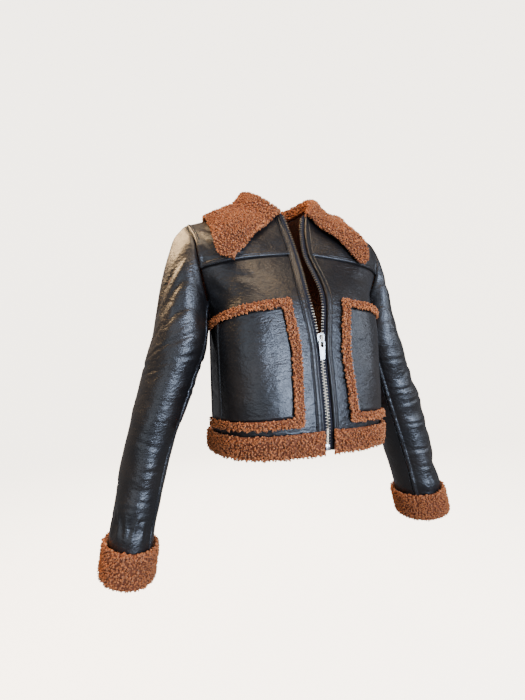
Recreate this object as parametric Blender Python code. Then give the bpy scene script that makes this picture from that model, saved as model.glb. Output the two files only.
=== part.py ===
"""A cropped faux leather jacket with sherpa trim, hollow as it is worn, with its zip half open.

Metres, +Z up. The jacket faces -Y and the wearer's left is +X. The origin is midway between the two points
where the shoulder seams meet the neckline, which is where the wearer's shoulders carry the garment.
The wearer's left half is worked out, and the right half is its mirror image, but for the sleeves' folds.
"""

import math

import bmesh
import bpy
import numpy as np
from mathutils import Matrix, Vector
from mathutils.bvhtree import BVHTree

# Driving sizes
LEATHER = 0.0030  # wall of the bonded faux leather
SEAM = 0.0004  # gap between two pieces at a seam
LIE = 0.0004  # gap between a panel and what lies on it
ZIP_EDGE = 0.0090  # from a row of teeth's free ends to the panel's front edge
CHAIN_HALF = 0.0043  # half the width of the closed chain of teeth
CHAIN_THICK = 0.0030
TAPE_THICK = 0.0010
PLACKET_WIDTH = 0.0130
PLACKET_RISE = 0.0030
TRIM_WIDTH = 0.0165  # the sherpa edge round a pocket
TRIM_RISE, TRIM_EDGE_RISE = 0.0080, 0.0035
PATCH_RISE = 0.0030
WELT_WIDTH, WELT_RISE = 0.0130, 0.0038
WELT_FROM_SIDE = 0.0620  # from the side seam to the welt's front edge
TRIM_TO_SIDE = 0.0100  # from the upper trim's end, under the armpit, to the side seam
COLLAR_THICK = 0.0080
COLLAR_CLEAR = 0.0032  # least gap between the collar and what it lies on
CUFF_RISE, CUFF_EDGE_RISE = 0.0105, 0.0050
HEM_RISE, HEM_EDGE_RISE = 0.0105, 0.0050
BAND_DROP = 0.0040  # how far the hem band and the cuffs reach past the leather
SHOULDER_TIP = (0.1910, 0.0040, -0.0500)
SHOULDER_DIP = 0.0030  # how far the shoulder seam sags between the neck and the shoulder tip
MITRE_LIMIT = 0.2  # two walls that turn back more sharply than this cosine aren't mitred at their seam
NECK_SHARE = 0.40  # share of a panel's top edge, before it is divided into steps, that is neckline

# Rows of the front panel, from the hem to the last row under the neckline. A row starts at the front edge
# and ends at the side seam or the armhole. A reach is a handle's length, and a turn its heading in degrees.
ROW_COLUMNS = "v in_y in_z out_x out_y out_z in_reach in_turn out_reach out_turn"
FRONT_ROWS = (
    (0.00, -0.1510, -0.4620, 0.1570, 0.0020, -0.4660, 0.1200, 0, 0.1000, 90),
    (0.12, -0.1550, -0.4160, 0.1570, 0.0020, -0.4240, 0.1240, 0, 0.1100, 90),
    (0.31, -0.1450, -0.3110, 0.1570, 0.0020, -0.3320, 0.1260, 0, 0.1200, 90),
    (0.50, -0.1310, -0.2030, 0.1560, 0.0000, -0.2320, 0.1200, 0, 0.1060, 90),
    (0.55, -0.1230, -0.1850, 0.1600, -0.0140, -0.2160, 0.1120, -1, 0.0880, 84),
    (0.62, -0.1090, -0.1600, 0.1680, -0.0340, -0.1920, 0.0980, -3, 0.0680, 76),
    (0.74, -0.0820, -0.1180, 0.1810, -0.0520, -0.1430, 0.0680, -6, 0.0540, 52),
    (0.86, -0.0640, -0.0760, 0.1870, -0.0450, -0.0930, 0.0500, -8, 0.0520, 38),
)
# Rows of the back panel, from the centre back to the side seam or the armhole.
BACK_ROWS = (
    (0.00, 0.1160, -0.4700, 0.1570, 0.0020, -0.4660, 0.0900, 0, 0.0680, -90),
    (0.12, 0.1120, -0.4260, 0.1570, 0.0020, -0.4240, 0.0900, 0, 0.0670, -90),
    (0.31, 0.1080, -0.3320, 0.1570, 0.0020, -0.3320, 0.0900, 0, 0.0640, -90),
    (0.50, 0.1160, -0.2260, 0.1560, 0.0000, -0.2320, 0.0900, 0, 0.0660, -90),
    (0.55, 0.1190, -0.2060, 0.1600, 0.0160, -0.2160, 0.0880, 0, 0.0600, -80),
    (0.62, 0.1220, -0.1780, 0.1680, 0.0400, -0.1920, 0.0840, 0, 0.0540, -66),
    (0.74, 0.1220, -0.1280, 0.1820, 0.0640, -0.1430, 0.0760, 0, 0.0520, -48),
    (0.86, 0.1080, -0.0720, 0.1880, 0.0560, -0.0930, 0.0660, 0, 0.0520, -38),
)
ARMPIT_V, YOKE_V = 0.50, 0.74
# From the panel's front edge to the pocket's trim, by the key of the row
POCKET_INSET_COLUMNS = "v inset"
POCKET_INSET = (
    (0.00, 0.0360),
    (0.12, 0.0350),
    (0.20, 0.0330),
    (0.31, 0.0300),
    (0.50, 0.0300),
    (1.00, 0.0300),
)
# Half the gap between the two rows of teeth, by height: shut below the slider, and open above it.
OPENING_COLUMNS = "z half_gap"
OPENING = (
    (-0.500, 0.0000),
    (-0.300, 0.0000),
    (-0.280, 0.0000),
    (-0.2645, 0.0028),
    (-0.247, 0.0048),
    (-0.225, 0.0080),
    (-0.190, 0.0105),
    (-0.150, 0.0075),
    (-0.116, 0.0050),
    (-0.080, 0.0080),
    (-0.050, 0.0140),
    (-0.030, 0.0200),
)
# The neckline from the centre back, w 0, over the shoulder seam, w 0.5, to the front edge, w 1.
NECK_COLUMNS = "w x y z"
NECKLINE = (
    (-0.25, -0.0400, 0.0600, -0.0080),
    (0.00, 0.0000, 0.0740, -0.0120),
    (0.25, 0.0400, 0.0600, -0.0080),
    (0.50, 0.0660, 0.0140, 0.0000),
    (0.75, 0.0540, -0.0290, -0.0140),
    (1.00, 0.0280, -0.0520, -0.0360),
)
# The collar, by the same w: how high it stands before it rolls over, and where its outer edge lies.
COLLAR_COLUMNS = "w stand out_x out_y out_z"
COLLAR = (
    (-0.25, 0.0400, -0.0740, 0.1230, -0.0740),
    (0.00, 0.0400, 0.0000, 0.1400, -0.0780),
    (0.25, 0.0420, 0.0740, 0.1230, -0.0740),
    (0.50, 0.0420, 0.1240, 0.0680, -0.0680),
    (0.70, 0.0280, 0.1460, 0.0100, -0.0620),
    (0.83, 0.0180, 0.1510, -0.0300, -0.0900),
    (0.92, 0.0110, 0.1465, -0.0570, -0.1320),
    (1.00, 0.0060, 0.1290, -0.0740, -0.1350),
)
LEFT_WING_IN = 0.0140  # the left wing lies this much closer to the neck than the right
COLLAR_FULL_STAND = 0.0420
COLLAR_ROLL = 1.45  # height of the roll's handle, as a multiple of the stand
COLLAR_LIFT = (0.0070, 0.0)  # how far the fall bulges up over the right and the left shoulder
COLLAR_BOW = 0.0030  # how far each front edge bows down and out between the zip and the collar's point
COLLAR_ROWS = 7
CLEARING_ROUNDS = 10
# Rings of each sleeve below the armpit: the centre, half the widths across and front to back, and the lean
SLEEVE_COLUMNS = "t x y z half_width half_depth lean"
SLEEVES = {
    "right": (
        (0.00, 0.2160, 0.0040, -0.2750, 0.0505, 0.0665, 16),
        (0.25, 0.2490, 0.0090, -0.3700, 0.0460, 0.0625, 16),
        (0.40, 0.2695, 0.0100, -0.4300, 0.0430, 0.0590, 15),
        (0.57, 0.2890, 0.0080, -0.5000, 0.0400, 0.0550, 13),
        (0.70, 0.3005, 0.0040, -0.5500, 0.0380, 0.0525, 12),
        (0.88, 0.3140, 0.0000, -0.6160, 0.0370, 0.0510, 11),
        (1.00, 0.3225, -0.0030, -0.6640, 0.0370, 0.0510, 11),
    ),
    "left": (
        (0.00, 0.2090, 0.0040, -0.2750, 0.0460, 0.0680, 17),
        (0.25, 0.2460, 0.0090, -0.3700, 0.0490, 0.0650, 16),
        (0.40, 0.2680, 0.0100, -0.4300, 0.0510, 0.0630, 15),
        (0.57, 0.2870, 0.0080, -0.5000, 0.0480, 0.0600, 13),
        (0.70, 0.2970, 0.0040, -0.5500, 0.0450, 0.0570, 12),
        (0.88, 0.3090, 0.0000, -0.6120, 0.0430, 0.0540, 11),
        (1.00, 0.3170, -0.0030, -0.6580, 0.0430, 0.0540, 11),
    ),
}
# How strongly the sleeve's head leaves the armhole's top, outwards and downwards
SHOULDER_SWELL = {"right": (0.150, -0.085), "left": (0.085, -0.090)}
ARM_LENGTH, GIRTH = 0.41, 0.33  # along the sleeve below the armpit, and round it
CUFF_T = 0.868  # where the cuff's upper edge crosses the sleeve
BACK_SEAM, FRONT_SEAM = 4, 18  # ring points of the sleeve's two seams, counted from the armpit by the back
# The largest folds of each sleeve: place round the ring (0 is the armpit, 0.25 the back, 0.75 the front),
# place down the sleeve, heading across the ring in degrees, length, width and depth. A trough is negative.
FOLD_COLUMNS = "around along heading length width depth"
FOLDS = {
    "right": (
        (0.64, 0.835, 0, 0.150, 0.013, 0.0040),
        (0.70, 0.600, -4, 0.090, 0.012, -0.0030),
        (0.78, 0.440, 6, 0.080, 0.012, -0.0030),
        (0.40, 0.380, -8, 0.090, 0.013, -0.0030),
        (0.25, 0.560, 0, 0.090, 0.013, -0.0030),
        (0.74, -0.120, -38, 0.080, 0.012, -0.0030),
    ),
    "left": (
        (0.70, 0.230, -14, 0.110, 0.013, -0.0055),
        (0.68, 0.140, 8, 0.080, 0.012, -0.0030),
        (0.70, 0.400, 0, 0.100, 0.013, -0.0040),
        (0.66, 0.510, -4, 0.080, 0.012, -0.0030),
        (0.64, 0.720, 0, 0.080, 0.013, -0.0035),
        (0.38, 0.300, 8, 0.090, 0.013, -0.0035),
        (0.66, 0.835, 0, 0.140, 0.013, 0.0035),
    ),
}

# Keys of the rows: the hem band, the pocket's trim and patch, the chest over the armpit, and the yoke
HEM_V = (0.0, 0.032, 0.064, 0.0955)
TRIM_LOW_V = (0.12, 0.135, 0.15)
TRIM_HIGH_V = (0.47, 0.485, ARMPIT_V)
PATCH_STEPS, CHEST_STEPS, YOKE_STEPS = 5, 5, 5
FRONT_MIDDLE_STEPS, BACK_STEPS = 5, 10
FRONT_NECK_STEPS, BACK_NECK_STEPS = 8, 4  # steps of each panel's top edge that lie on the neckline
SAMPLES = 160  # points of a row before it is divided into steps
CAP_RINGS, ARM_RINGS, CUFF_RINGS = 6, 17, 4

# Slider and pull tab, in the zip's own frame: across, out of the cloth, and up along the zip
SLIDER_LENGTH, SLIDER_TOP, SLIDER_BOTTOM, PLATE = 0.0160, 0.0155, 0.0110, 0.0015
AXIS_FROM_BOTTOM = 0.0045
AXIS_RISE = 0.0015  # from the slider's front plate to the tab's axis
BAIL_WIDTH, BAIL_BAR, BAIL_LOW, BAIL_HIGH = 0.0030, 0.0014, 0.0014, 0.0066
TAB_LENGTH, TAB_TOP, TAB_BOTTOM, TAB_THICK = 0.0340, 0.0120, 0.0085, 0.0018
TAB_BAR = 0.0016  # height of the tab's top bar, which turns in the bail
SLOT_LENGTH, SLOT_WIDTH = 0.0125, 0.0055
TAB_REST_LEAN = 3.0  # degrees by which the tab's tip leans in towards the teeth
SLIDER_Z = -0.2765  # height of the tab's axis on the zip
BOX_HEIGHT, BOX_THICK = 0.0110, 0.0046  # the retainer at the zip's lower end


def smooth(table, keys):
    """Values of a table at the given keys, on a smooth curve through its rows, whose first column is the key."""
    table = np.asarray(table, float)
    key, value = table[:, 0], table[:, 1:]
    slope = np.gradient(value, key, axis=0)
    keys = np.clip(np.atleast_1d(np.asarray(keys, float)), key[0], key[-1])
    row = np.clip(np.searchsorted(key, keys, side="right") - 1, 0, len(key) - 2)
    step = key[row + 1] - key[row]
    s = ((keys - key[row]) / step)[:, None]
    step = step[:, None]
    return (
        (1 + 2 * s) * (1 - s) ** 2 * value[row]
        + s * (1 - s) ** 2 * step * slope[row]
        + s**2 * (3 - 2 * s) * value[row + 1]
        + s**2 * (s - 1) * step * slope[row + 1]
    )


def unit(vectors):
    return vectors / np.maximum(np.linalg.norm(vectors, axis=-1, keepdims=True), 1e-12)


def opening(z):
    """Half the gap between the two rows of teeth at the heights z."""
    z = np.asarray(z, float)
    return np.maximum(smooth(OPENING, z.ravel())[:, 0].reshape(z.shape), 0)


def row_curve(row, inner_x, u):
    """Points of one panel row at the shares u, from its front edge or centre back to its outer end."""
    _, in_y, in_z, out_x, out_y, out_z, in_reach, in_turn, out_reach, out_turn = row
    a, b = math.radians(in_turn), math.radians(out_turn)
    start = np.array((inner_x, in_y, in_z))
    end = np.array((out_x, out_y, out_z))
    drop = (end - start) * (0, 0, 1) / 3
    first = start + drop + in_reach * np.array((math.cos(a), math.sin(a), 0))
    last = end - drop - out_reach * np.array((math.cos(b), math.sin(b), 0))
    u = u[:, None]
    return (1 - u) ** 3 * start + 3 * u * (1 - u) ** 2 * first + 3 * u**2 * (1 - u) * last + u**3 * end


def top_row(w_inner, u):
    """Points of a panel's top edge: the neckline from w_inner to the shoulder seam, then along that seam."""
    neck = smooth(NECKLINE, w_inner + (0.5 - w_inner) * np.clip(u / NECK_SHARE, 0, 1))
    along = np.clip((u - NECK_SHARE) / (1 - NECK_SHARE), 0, 1)[:, None]
    corner = smooth(NECKLINE, 0.5)
    seam = corner + along * (np.array(SHOULDER_TIP) - corner)
    seam = seam + 4 * along * (1 - along) * np.array((0, 0, -SHOULDER_DIP))
    return np.where(u[:, None] <= NECK_SHARE, neck, seam)


def along_row(points, places):
    """Points at the given distances along a row."""
    reach = np.concatenate([[0], np.cumsum(np.linalg.norm(np.diff(points, axis=0), axis=1))])
    return np.stack([np.interp(places, reach, points[:, axis]) for axis in range(3)], axis=1)


def row_length(points):
    return np.linalg.norm(np.diff(points, axis=0), axis=1).sum()


def front_places(length, key):
    """Where the front's columns lie along a row: placket, trim, pocket patch, welt and side seam."""
    trim = smooth(POCKET_INSET, key)[0, 0]
    near = [0, PLACKET_WIDTH / 2, PLACKET_WIDTH, trim, trim + TRIM_WIDTH / 2]
    patch = np.linspace(trim + TRIM_WIDTH, length - WELT_FROM_SIDE, FRONT_MIDDLE_STEPS + 1)
    welt_end, trim_end = length - WELT_FROM_SIDE + WELT_WIDTH, length - TRIM_TO_SIDE
    return np.concatenate([near, patch, [welt_end, (welt_end + trim_end) / 2, trim_end, length]])


def back_places(length, _):
    return np.linspace(0, length, BACK_STEPS + 1)


def top_places(points, fixed, neck_steps, steps):
    """Where the columns lie along a top edge: the fixed ones, then even steps to its corner and to its end."""
    corner = row_length(points[: int(round(NECK_SHARE * SAMPLES)) + 1])
    neck = np.linspace(fixed[-1], corner, neck_steps - len(fixed) + 2)[1:]
    seam = np.linspace(corner, row_length(points), steps - neck_steps + 1)[1:]
    return np.concatenate([fixed, neck, seam])


def panel(rows, w_inner, v, places, fixed, neck_steps):
    """The grid of points, v by columns, of half a front or half a back on the wearer's left."""
    front = w_inner > 0
    u = np.linspace(0, 1, SAMPLES + 1)
    curves = [row_curve(row, ZIP_EDGE + opening(row[2]) if front else 0.0, u) for row in rows]
    curves.append(top_row(w_inner, u))
    keys = [row[0] for row in rows] + [1.0]
    table = np.array([np.append(key, curve.ravel()) for key, curve in zip(keys, curves)])
    dense = smooth(table, v).reshape(len(v), len(u), 3)
    if front:  # the front edge follows the opening, and the rest of the row eases to it
        edge = ZIP_EDGE + opening(dense[:, 0, 2])
        dense[:, :, 0] += (edge - dense[:, 0, 0])[:, None] * (1 - u) ** 4
    # Below the armpit both panels end on one side seam, which runs straight between the rows' own ends.
    below = v <= ARMPIT_V
    ends = np.array([row[3:6] for row in rows])
    side = np.stack([np.interp(v[below], keys[:-1], ends[:, axis]) for axis in range(3)], axis=1)
    dense[below] += (side - dense[below, -1])[:, None] * u[:, None] ** 4
    count = len(places(1.0, 1.0)) - 1
    top = top_places(dense[-1], fixed, neck_steps, count) / row_length(dense[-1])
    grid = []
    for key, points in zip(v, dense):
        length = row_length(points)
        s = np.clip((key - YOKE_V) / (1 - YOKE_V), 0, 1)
        s = s * s * (3 - 2 * s)
        where = (1 - s) * places(length, key) + s * top * length
        where[: len(fixed)] = fixed
        grid.append(along_row(points, where))
    return np.array(grid)


def heights():
    """The keys v of the rows, from the hem to the top."""
    patch = np.linspace(TRIM_LOW_V[-1], TRIM_HIGH_V[0], PATCH_STEPS + 1)[1:-1]
    chest = np.linspace(ARMPIT_V, YOKE_V, CHEST_STEPS + 1)[1:]
    yoke = np.linspace(YOKE_V, 1, YOKE_STEPS + 1)[1:]
    return np.concatenate([HEM_V, TRIM_LOW_V, patch, TRIM_HIGH_V, chest, yoke])


V = heights()
HEM_ROW = len(HEM_V) - 1
TRIM_ROW, PATCH_ROW = HEM_ROW + 1, HEM_ROW + 3  # first rows of the pocket's lower trim and of its patch
PATCH_END, ARMPIT_ROW = PATCH_ROW + PATCH_STEPS, PATCH_ROW + PATCH_STEPS + 2
YOKE_ROW = ARMPIT_ROW + CHEST_STEPS
PLACKET_COLUMN, TRIM_COLUMN, PATCH_COLUMN = 2, 3, 5
WELT_COLUMN = PATCH_COLUMN + FRONT_MIDDLE_STEPS


def torso():
    """The grids of the left front, from the zip to the side, and of half the back, from the side to its centre."""
    fixed = [0, PLACKET_WIDTH / 2, PLACKET_WIDTH]
    front = panel(FRONT_ROWS, 1.0, V, front_places, fixed, FRONT_NECK_STEPS)
    back = panel(BACK_ROWS, 0.0, V, back_places, [0], BACK_NECK_STEPS)[:, ::-1]
    shoulder = BACK_STEPS - BACK_NECK_STEPS
    back[-1, shoulder::-1] = front[-1, FRONT_NECK_STEPS:]
    return front, back


def armhole(front, back):
    """The armhole's loop from the armpit up the back, over the shoulder tip and down the front."""
    return np.concatenate([back[ARMPIT_ROW:, 0], front[ARMPIT_ROW + 1 : -1, -1][::-1]])


def rings(side, t, count):
    """The rings of the sleeve below the armpit at the places t, each a loop of points like the armhole's."""
    x, y, z, half_width, half_depth, lean = smooth(SLEEVES[side], t).T[:, :, None]
    lean = np.radians(lean)
    turn = 2 * math.pi * np.arange(count) / count
    across, along = -half_width * np.cos(turn), half_depth * np.sin(turn)
    return np.stack([x + across * np.cos(lean), y + along, z + across * np.sin(lean)], axis=2)


def fold_height(side, around, along):
    """How far the folds move the sleeve's surface out, at the places around and along it."""
    height = np.zeros(np.broadcast(around, along).shape)
    for place, down, heading, reach, width, depth in FOLDS[side]:
        east = ((around - place + 0.5) % 1 - 0.5) * GIRTH
        south = (along - down) * ARM_LENGTH
        a = math.radians(heading)
        inside = np.clip(1 - ((east * math.cos(a) + south * math.sin(a)) / (reach / 2)) ** 2, 0, 1)
        height += depth * inside**1.5 * np.exp(-(((south * math.cos(a) - east * math.sin(a)) / width) ** 2))
    return height


def arm_places():
    return np.concatenate([np.linspace(0, CUFF_T, ARM_RINGS + 1), np.linspace(CUFF_T, 1, CUFF_RINGS + 1)[1:]])


def sleeve(side, loop):
    """The grid of one sleeve on the wearer's left, rings by points, from the armhole's loop to the wrist."""
    count = len(loop)
    t = arm_places()
    arm = rings(side, t, count)
    first = arm[0]
    pull = (arm[1] - arm[0]) / (t[1] - t[0])
    turn = 2 * math.pi * np.arange(count) / count
    top = ((1 - np.cos(turn)) / 2)[:, None]
    # The head of the sleeve leaves the armhole outwards at its top and downwards at the armpit.
    outwards, downwards = SHOULDER_SWELL[side]
    leave = top * (outwards, 0, downwards) + (1 - top) * (0.030, 0, -0.050)
    leave = leave + np.sin(turn)[:, None] * (0, 0.050, 0) + np.abs(np.sin(turn))[:, None] * (0, 0, -0.030)
    reach = np.linalg.norm(first - loop, axis=1)[:, None] / 0.24
    s = np.linspace(0, 1, CAP_RINGS + 1)[:-1, None, None]
    cap = (
        (1 + 2 * s) * (1 - s) ** 2 * loop
        + s * (1 - s) ** 2 * leave * reach
        + s**2 * (3 - 2 * s) * first
        + s**2 * (s - 1) * pull * reach * 0.55
    )
    grid = np.concatenate([cap, arm])
    along = np.concatenate([(s[:, 0, 0] - 1) * 0.3, t])[:, None]
    moved = fold_height(side, np.arange(count) / count, along)
    closed = np.concatenate([grid, grid[:, :1]], axis=1)
    return grid + moved[:, :, None] * corner_normals([closed])[0][:, :-1]


def corner_normals(grids):
    """Unit normals of the grids' points, facing out. Grids that meet at a point share one normal there."""
    points = np.concatenate([grid.reshape(-1, 3) for grid in grids])
    _, index = np.unique(np.round(points, 6), axis=0, return_inverse=True)
    index = index.reshape(-1)
    total = np.zeros((index.max() + 1, 3))
    start = 0
    for grid in grids:
        rows, columns = grid.shape[:2]
        number = index[start : start + rows * columns].reshape(rows, columns)
        start += rows * columns
        face = np.cross(grid[1:, 1:] - grid[:-1, :-1], grid[1:, :-1] - grid[:-1, 1:])
        own = np.zeros_like(total)
        for corner in (number[:-1, :-1], number[1:, :-1], number[:-1, 1:], number[1:, 1:]):
            np.add.at(own, corner.ravel(), face.reshape(-1, 3))
        total += unit(own)
    total = unit(total)
    found, start = [], 0
    for grid in grids:
        size = grid.shape[0] * grid.shape[1]
        found.append(total[index[start : start + size]].reshape(grid.shape))
        start += size
    return found


def mirrored(grid):
    """The grid of the other side of the body, with its columns reversed so that its faces still look out."""
    return grid[:, ::-1] * (-1, 1, 1)


class Piece:
    """A panel's points, its normals, and how far seams move its edges."""

    def __init__(self, grid, normal):
        self.grid, self.normal = grid, normal
        self.moved = np.zeros_like(grid)

    def points(self):
        return self.grid + self.moved


def part_seam(a, a_line, a_inner, b, b_line, b_inner):
    """Moves the shared edge of two pieces apart by the seam's gap."""
    way_a = unit(a.grid[a_inner] - a.grid[a_line])
    way_b = unit(b.grid[b_inner] - b.grid[b_line])
    apart = unit(way_a - way_b) * SEAM / 2
    a.moved[a_line] += apart
    b.moved[b_line] -= apart


def armhole_ends(made, number):
    """Where the torso's pieces end at one point of the armhole: piece, row, last column and inner column."""
    lower, yoke, back = made["front"], made["yoke"], made["back"]
    over = len(back.grid) - ARMPIT_ROW  # ring points on the back, from the armpit to the shoulder tip
    ends = []
    if number < over:
        ends.append((back, ARMPIT_ROW + number, 0, 1))
    row = len(back.grid) - 1 - (number - over + 1) if number else ARMPIT_ROW
    if number == 0 or number >= over - 1:
        if row >= YOKE_ROW:
            ends.append((yoke, row - YOKE_ROW, -1, -2))
        if row <= YOKE_ROW:
            ends.append((lower, row, -1, -2))
    return ends


def part_armhole(made, arm, arm_normal, columns):
    """Moves the sleeve and the torso apart round the armhole, and mitres them except at the armpit's fold."""
    for number in range(arm.shape[1]):
        ends = armhole_ends(made, number)
        way_body = sum(unit(body.grid[row, inner] - body.grid[row, line]) for body, row, line, inner in ends)
        apart = unit(unit(arm[1, number] - arm[0, number]) - unit(way_body)) * SEAM / 2
        body, row, line, _ = ends[0]
        joint, own = body.normal[row, line], arm_normal[0, number]
        mitred = own.dot(joint) > MITRE_LIMIT
        shared = unit(own + joint)
        for body, row, line, _ in ends:
            body.moved[row, line] -= apart
            if mitred:
                body.normal[row, line] = shared
        for piece, numbers in zip((made["sleeve_top"], made["sleeve_under"]), columns):
            piece.moved[0, numbers == number] += apart
            if mitred:
                piece.normal[0, numbers == number] = shared


def left_half(side):
    """The pieces of the wearer's left half, with seams parted. The side names whose folds the sleeve has."""
    front, back = torso()
    loop = armhole(front, back)
    arm = sleeve(side, loop)
    closed = np.concatenate([arm, arm[:, :1]], axis=1)
    front_normal, back_normal = corner_normals([front, back])
    arm_normal = corner_normals([closed])[0][:, :-1]
    back_normal[:, -1] = unit(back_normal[:, -1] * (0, 1, 1))
    count = arm.shape[1]
    top = np.arange(BACK_SEAM, FRONT_SEAM + 1)
    under = np.arange(FRONT_SEAM, count + BACK_SEAM + 1) % count
    made = {
        "front": Piece(front[: YOKE_ROW + 1], front_normal[: YOKE_ROW + 1]),
        "yoke": Piece(front[YOKE_ROW:], front_normal[YOKE_ROW:]),
        "back": Piece(back, back_normal),
        "sleeve_top": Piece(arm[:, top], arm_normal[:, top]),
        "sleeve_under": Piece(arm[:, under], arm_normal[:, under]),
    }
    lower, yoke, whole = made["front"], made["yoke"], made["back"]
    every = slice(None)
    part_seam(lower, np.s_[-1, every], np.s_[-2, every], yoke, np.s_[0, every], np.s_[1, every])
    side_rows = slice(0, ARMPIT_ROW + 1)
    front_side, back_side = np.s_[side_rows, -1], np.s_[side_rows, 0]
    part_seam(lower, front_side, np.s_[side_rows, -2], whole, back_side, np.s_[side_rows, 1])
    seam, shoulder = front.shape[1] - FRONT_NECK_STEPS, back.shape[1] - BACK_NECK_STEPS
    back_shoulder, under_shoulder = np.s_[-1, shoulder - 1 :: -1], np.s_[-2, shoulder - 1 :: -1]
    part_seam(yoke, np.s_[-1, -seam:], np.s_[-2, -seam:], whole, back_shoulder, under_shoulder)
    part_armhole(made, arm, arm_normal, (top, under))
    rest = slice(1, None)
    for a, b in ((made["sleeve_top"], made["sleeve_under"]), (made["sleeve_under"], made["sleeve_top"])):
        part_seam(a, np.s_[rest, -1], np.s_[rest, -2], b, np.s_[rest, 0], np.s_[rest, 1])
        way = unit(a.grid[0, -2] - a.grid[0, -1]) * SEAM / 2
        a.moved[0, -1] += way
        b.moved[0, 0] -= way
    return made


def add_object(name, points, faces, finish):
    """A mesh object in the jacket's collection, shaded smooth where its faces nearly line up."""
    mesh = bpy.data.meshes.new(name)
    mesh.from_pydata([tuple(point) for point in points], [], faces)
    mesh.shade_smooth()
    mesh.set_sharp_from_angle(angle=math.radians(50))
    mesh.materials.append(finish)
    item = bpy.data.objects.new(name, mesh)
    JACKET.objects.link(item)
    return item


def cells_solid(name, outer, inner, finish, cells=None, closed=False):
    """A solid between two grids over the chosen cells. Closed joins the last column to the first."""
    rows, columns = outer.shape[:2]
    points = np.concatenate([outer.reshape(-1, 3), inner.reshape(-1, 3)])
    half = rows * columns
    number = np.arange(half).reshape(rows, columns)
    if closed:
        number = np.concatenate([number, number[:, :1]], axis=1)
    if cells is None:
        cells = np.ones((rows - 1, number.shape[1] - 1), bool)
    faces, sides = [], {}
    for row, column in zip(*np.nonzero(cells)):
        near, far = number[row : row + 2, column], number[row : row + 2, column + 1]
        corners = [int(corner) for corner in (near[0], far[0], far[1], near[1])]
        a, b, c, d = corners
        faces += [(a, b, c), (a, c, d), (a + half, c + half, b + half), (a + half, d + half, c + half)]
        for a, b in zip(corners, corners[1:] + corners[:1]):
            if not sides.pop((b, a), None):
                sides[a, b] = True
    for a, b in sides:
        faces.append((a, a + half, b + half, b))
    used = sorted({corner for face in faces for corner in face})
    place = {corner: count for count, corner in enumerate(used)}
    faces = [tuple(place[corner] for corner in face) for face in faces]
    return add_object(name, points[used], faces, finish)


def shell(name, grid, normal, finish, high, low, **more):
    """A solid from the grid, between two heights along the normals. A height may vary by point."""
    high, low = (np.asarray(value)[..., None] if np.ndim(value) else value for value in (high, low))
    return cells_solid(name, grid + normal * high, grid + normal * low, finish, **more)


def inset(grid, gap):
    """The grid with its four edges drawn in by a gap."""
    grid = grid.copy()
    for edge, inner in ((0, 1), (-1, -2)):
        grid[edge] += unit(grid[inner] - grid[edge]) * gap
        grid[:, edge] += unit(grid[:, inner] - grid[:, edge]) * gap
    return grid


def both_sides(name, piece, build):
    """Builds one piece on the wearer's left and its mirror image on the right."""
    grid, normal = piece
    build(f"{name}_left", grid, normal)
    build(f"{name}_right", mirrored(grid), mirrored(normal))


def torso_and_sleeves(halves):
    left = halves["left"]
    for name in ("front", "yoke"):
        piece = left[name]
        both_sides(name, (piece.points(), piece.normal), leather_wall)
    back = left["back"]
    grid = np.concatenate([back.points(), mirrored(back.points())[:, 1:]], axis=1)
    normal = np.concatenate([back.normal, mirrored(back.normal)[:, 1:]], axis=1)
    leather_wall("back", grid, normal)
    for name in ("sleeve_top", "sleeve_under"):
        for side in ("left", "right"):
            piece = halves[side][name]
            grid, normal = piece.points(), piece.normal
            if side == "right":
                grid, normal = mirrored(grid), mirrored(normal)
            # A sleeve's rows run down from the armhole, so its columns run the other way round.
            leather_wall(f"{name}_{side}", grid, normal)


def leather_wall(name, grid, normal):
    return shell(name, grid, normal, FAUX_LEATHER, 0.0, -LEATHER)


def whole_front(left):
    """The front and the yoke as one grid, on which the placket, the pocket and the bands lie."""
    lower, yoke = left["front"], left["yoke"]
    grid = np.concatenate([lower.grid, yoke.grid[1:]])
    normal = np.concatenate([lower.normal, yoke.normal[1:]])
    return grid, normal


def pocket(left):
    """The patch pocket: its leather patch, the sherpa trim on three sides, and the welt of its side entry."""
    grid, normal = left["front"].grid.copy(), left["front"].normal
    side = grid[:, -2] - grid[:, -1]
    grid[:, -1] += unit(side) * SEAM
    rows, columns = grid.shape[0] - 1, grid.shape[1] - 1
    cells = np.zeros((rows, columns), bool)
    cells[TRIM_ROW:PATCH_ROW, TRIM_COLUMN:] = True
    cells[PATCH_END:ARMPIT_ROW, TRIM_COLUMN:-1] = True
    cells[TRIM_ROW:ARMPIT_ROW, TRIM_COLUMN:PATCH_COLUMN] = True
    high = np.full(grid.shape[:2], TRIM_EDGE_RISE)
    high[TRIM_ROW + 1, TRIM_COLUMN + 1 :] = TRIM_RISE
    high[ARMPIT_ROW - 1, TRIM_COLUMN + 1 : -2] = TRIM_RISE
    high[TRIM_ROW + 1 : ARMPIT_ROW, TRIM_COLUMN + 1] = TRIM_RISE

    def trim(name, points, normals):
        mirror = name.endswith("right")
        chosen, rise = (cells[:, ::-1], high[:, ::-1]) if mirror else (cells, high)
        shell(name, points, normals, SHERPA, rise, LIE, cells=chosen)

    both_sides("pocket_trim", (grid, normal), trim)
    for name, first, last, rise in (
        ("pocket_patch", PATCH_COLUMN, WELT_COLUMN, PATCH_RISE),
        ("pocket_welt", WELT_COLUMN, WELT_COLUMN + 1, WELT_RISE),
    ):
        area = np.s_[PATCH_ROW : PATCH_END + 1, first : last + 1]
        piece = (inset(grid[area], SEAM), normal[area])
        both_sides(name, piece, lambda name, *surface: shell(name, *surface, FAUX_LEATHER, rise, LIE))


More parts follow.
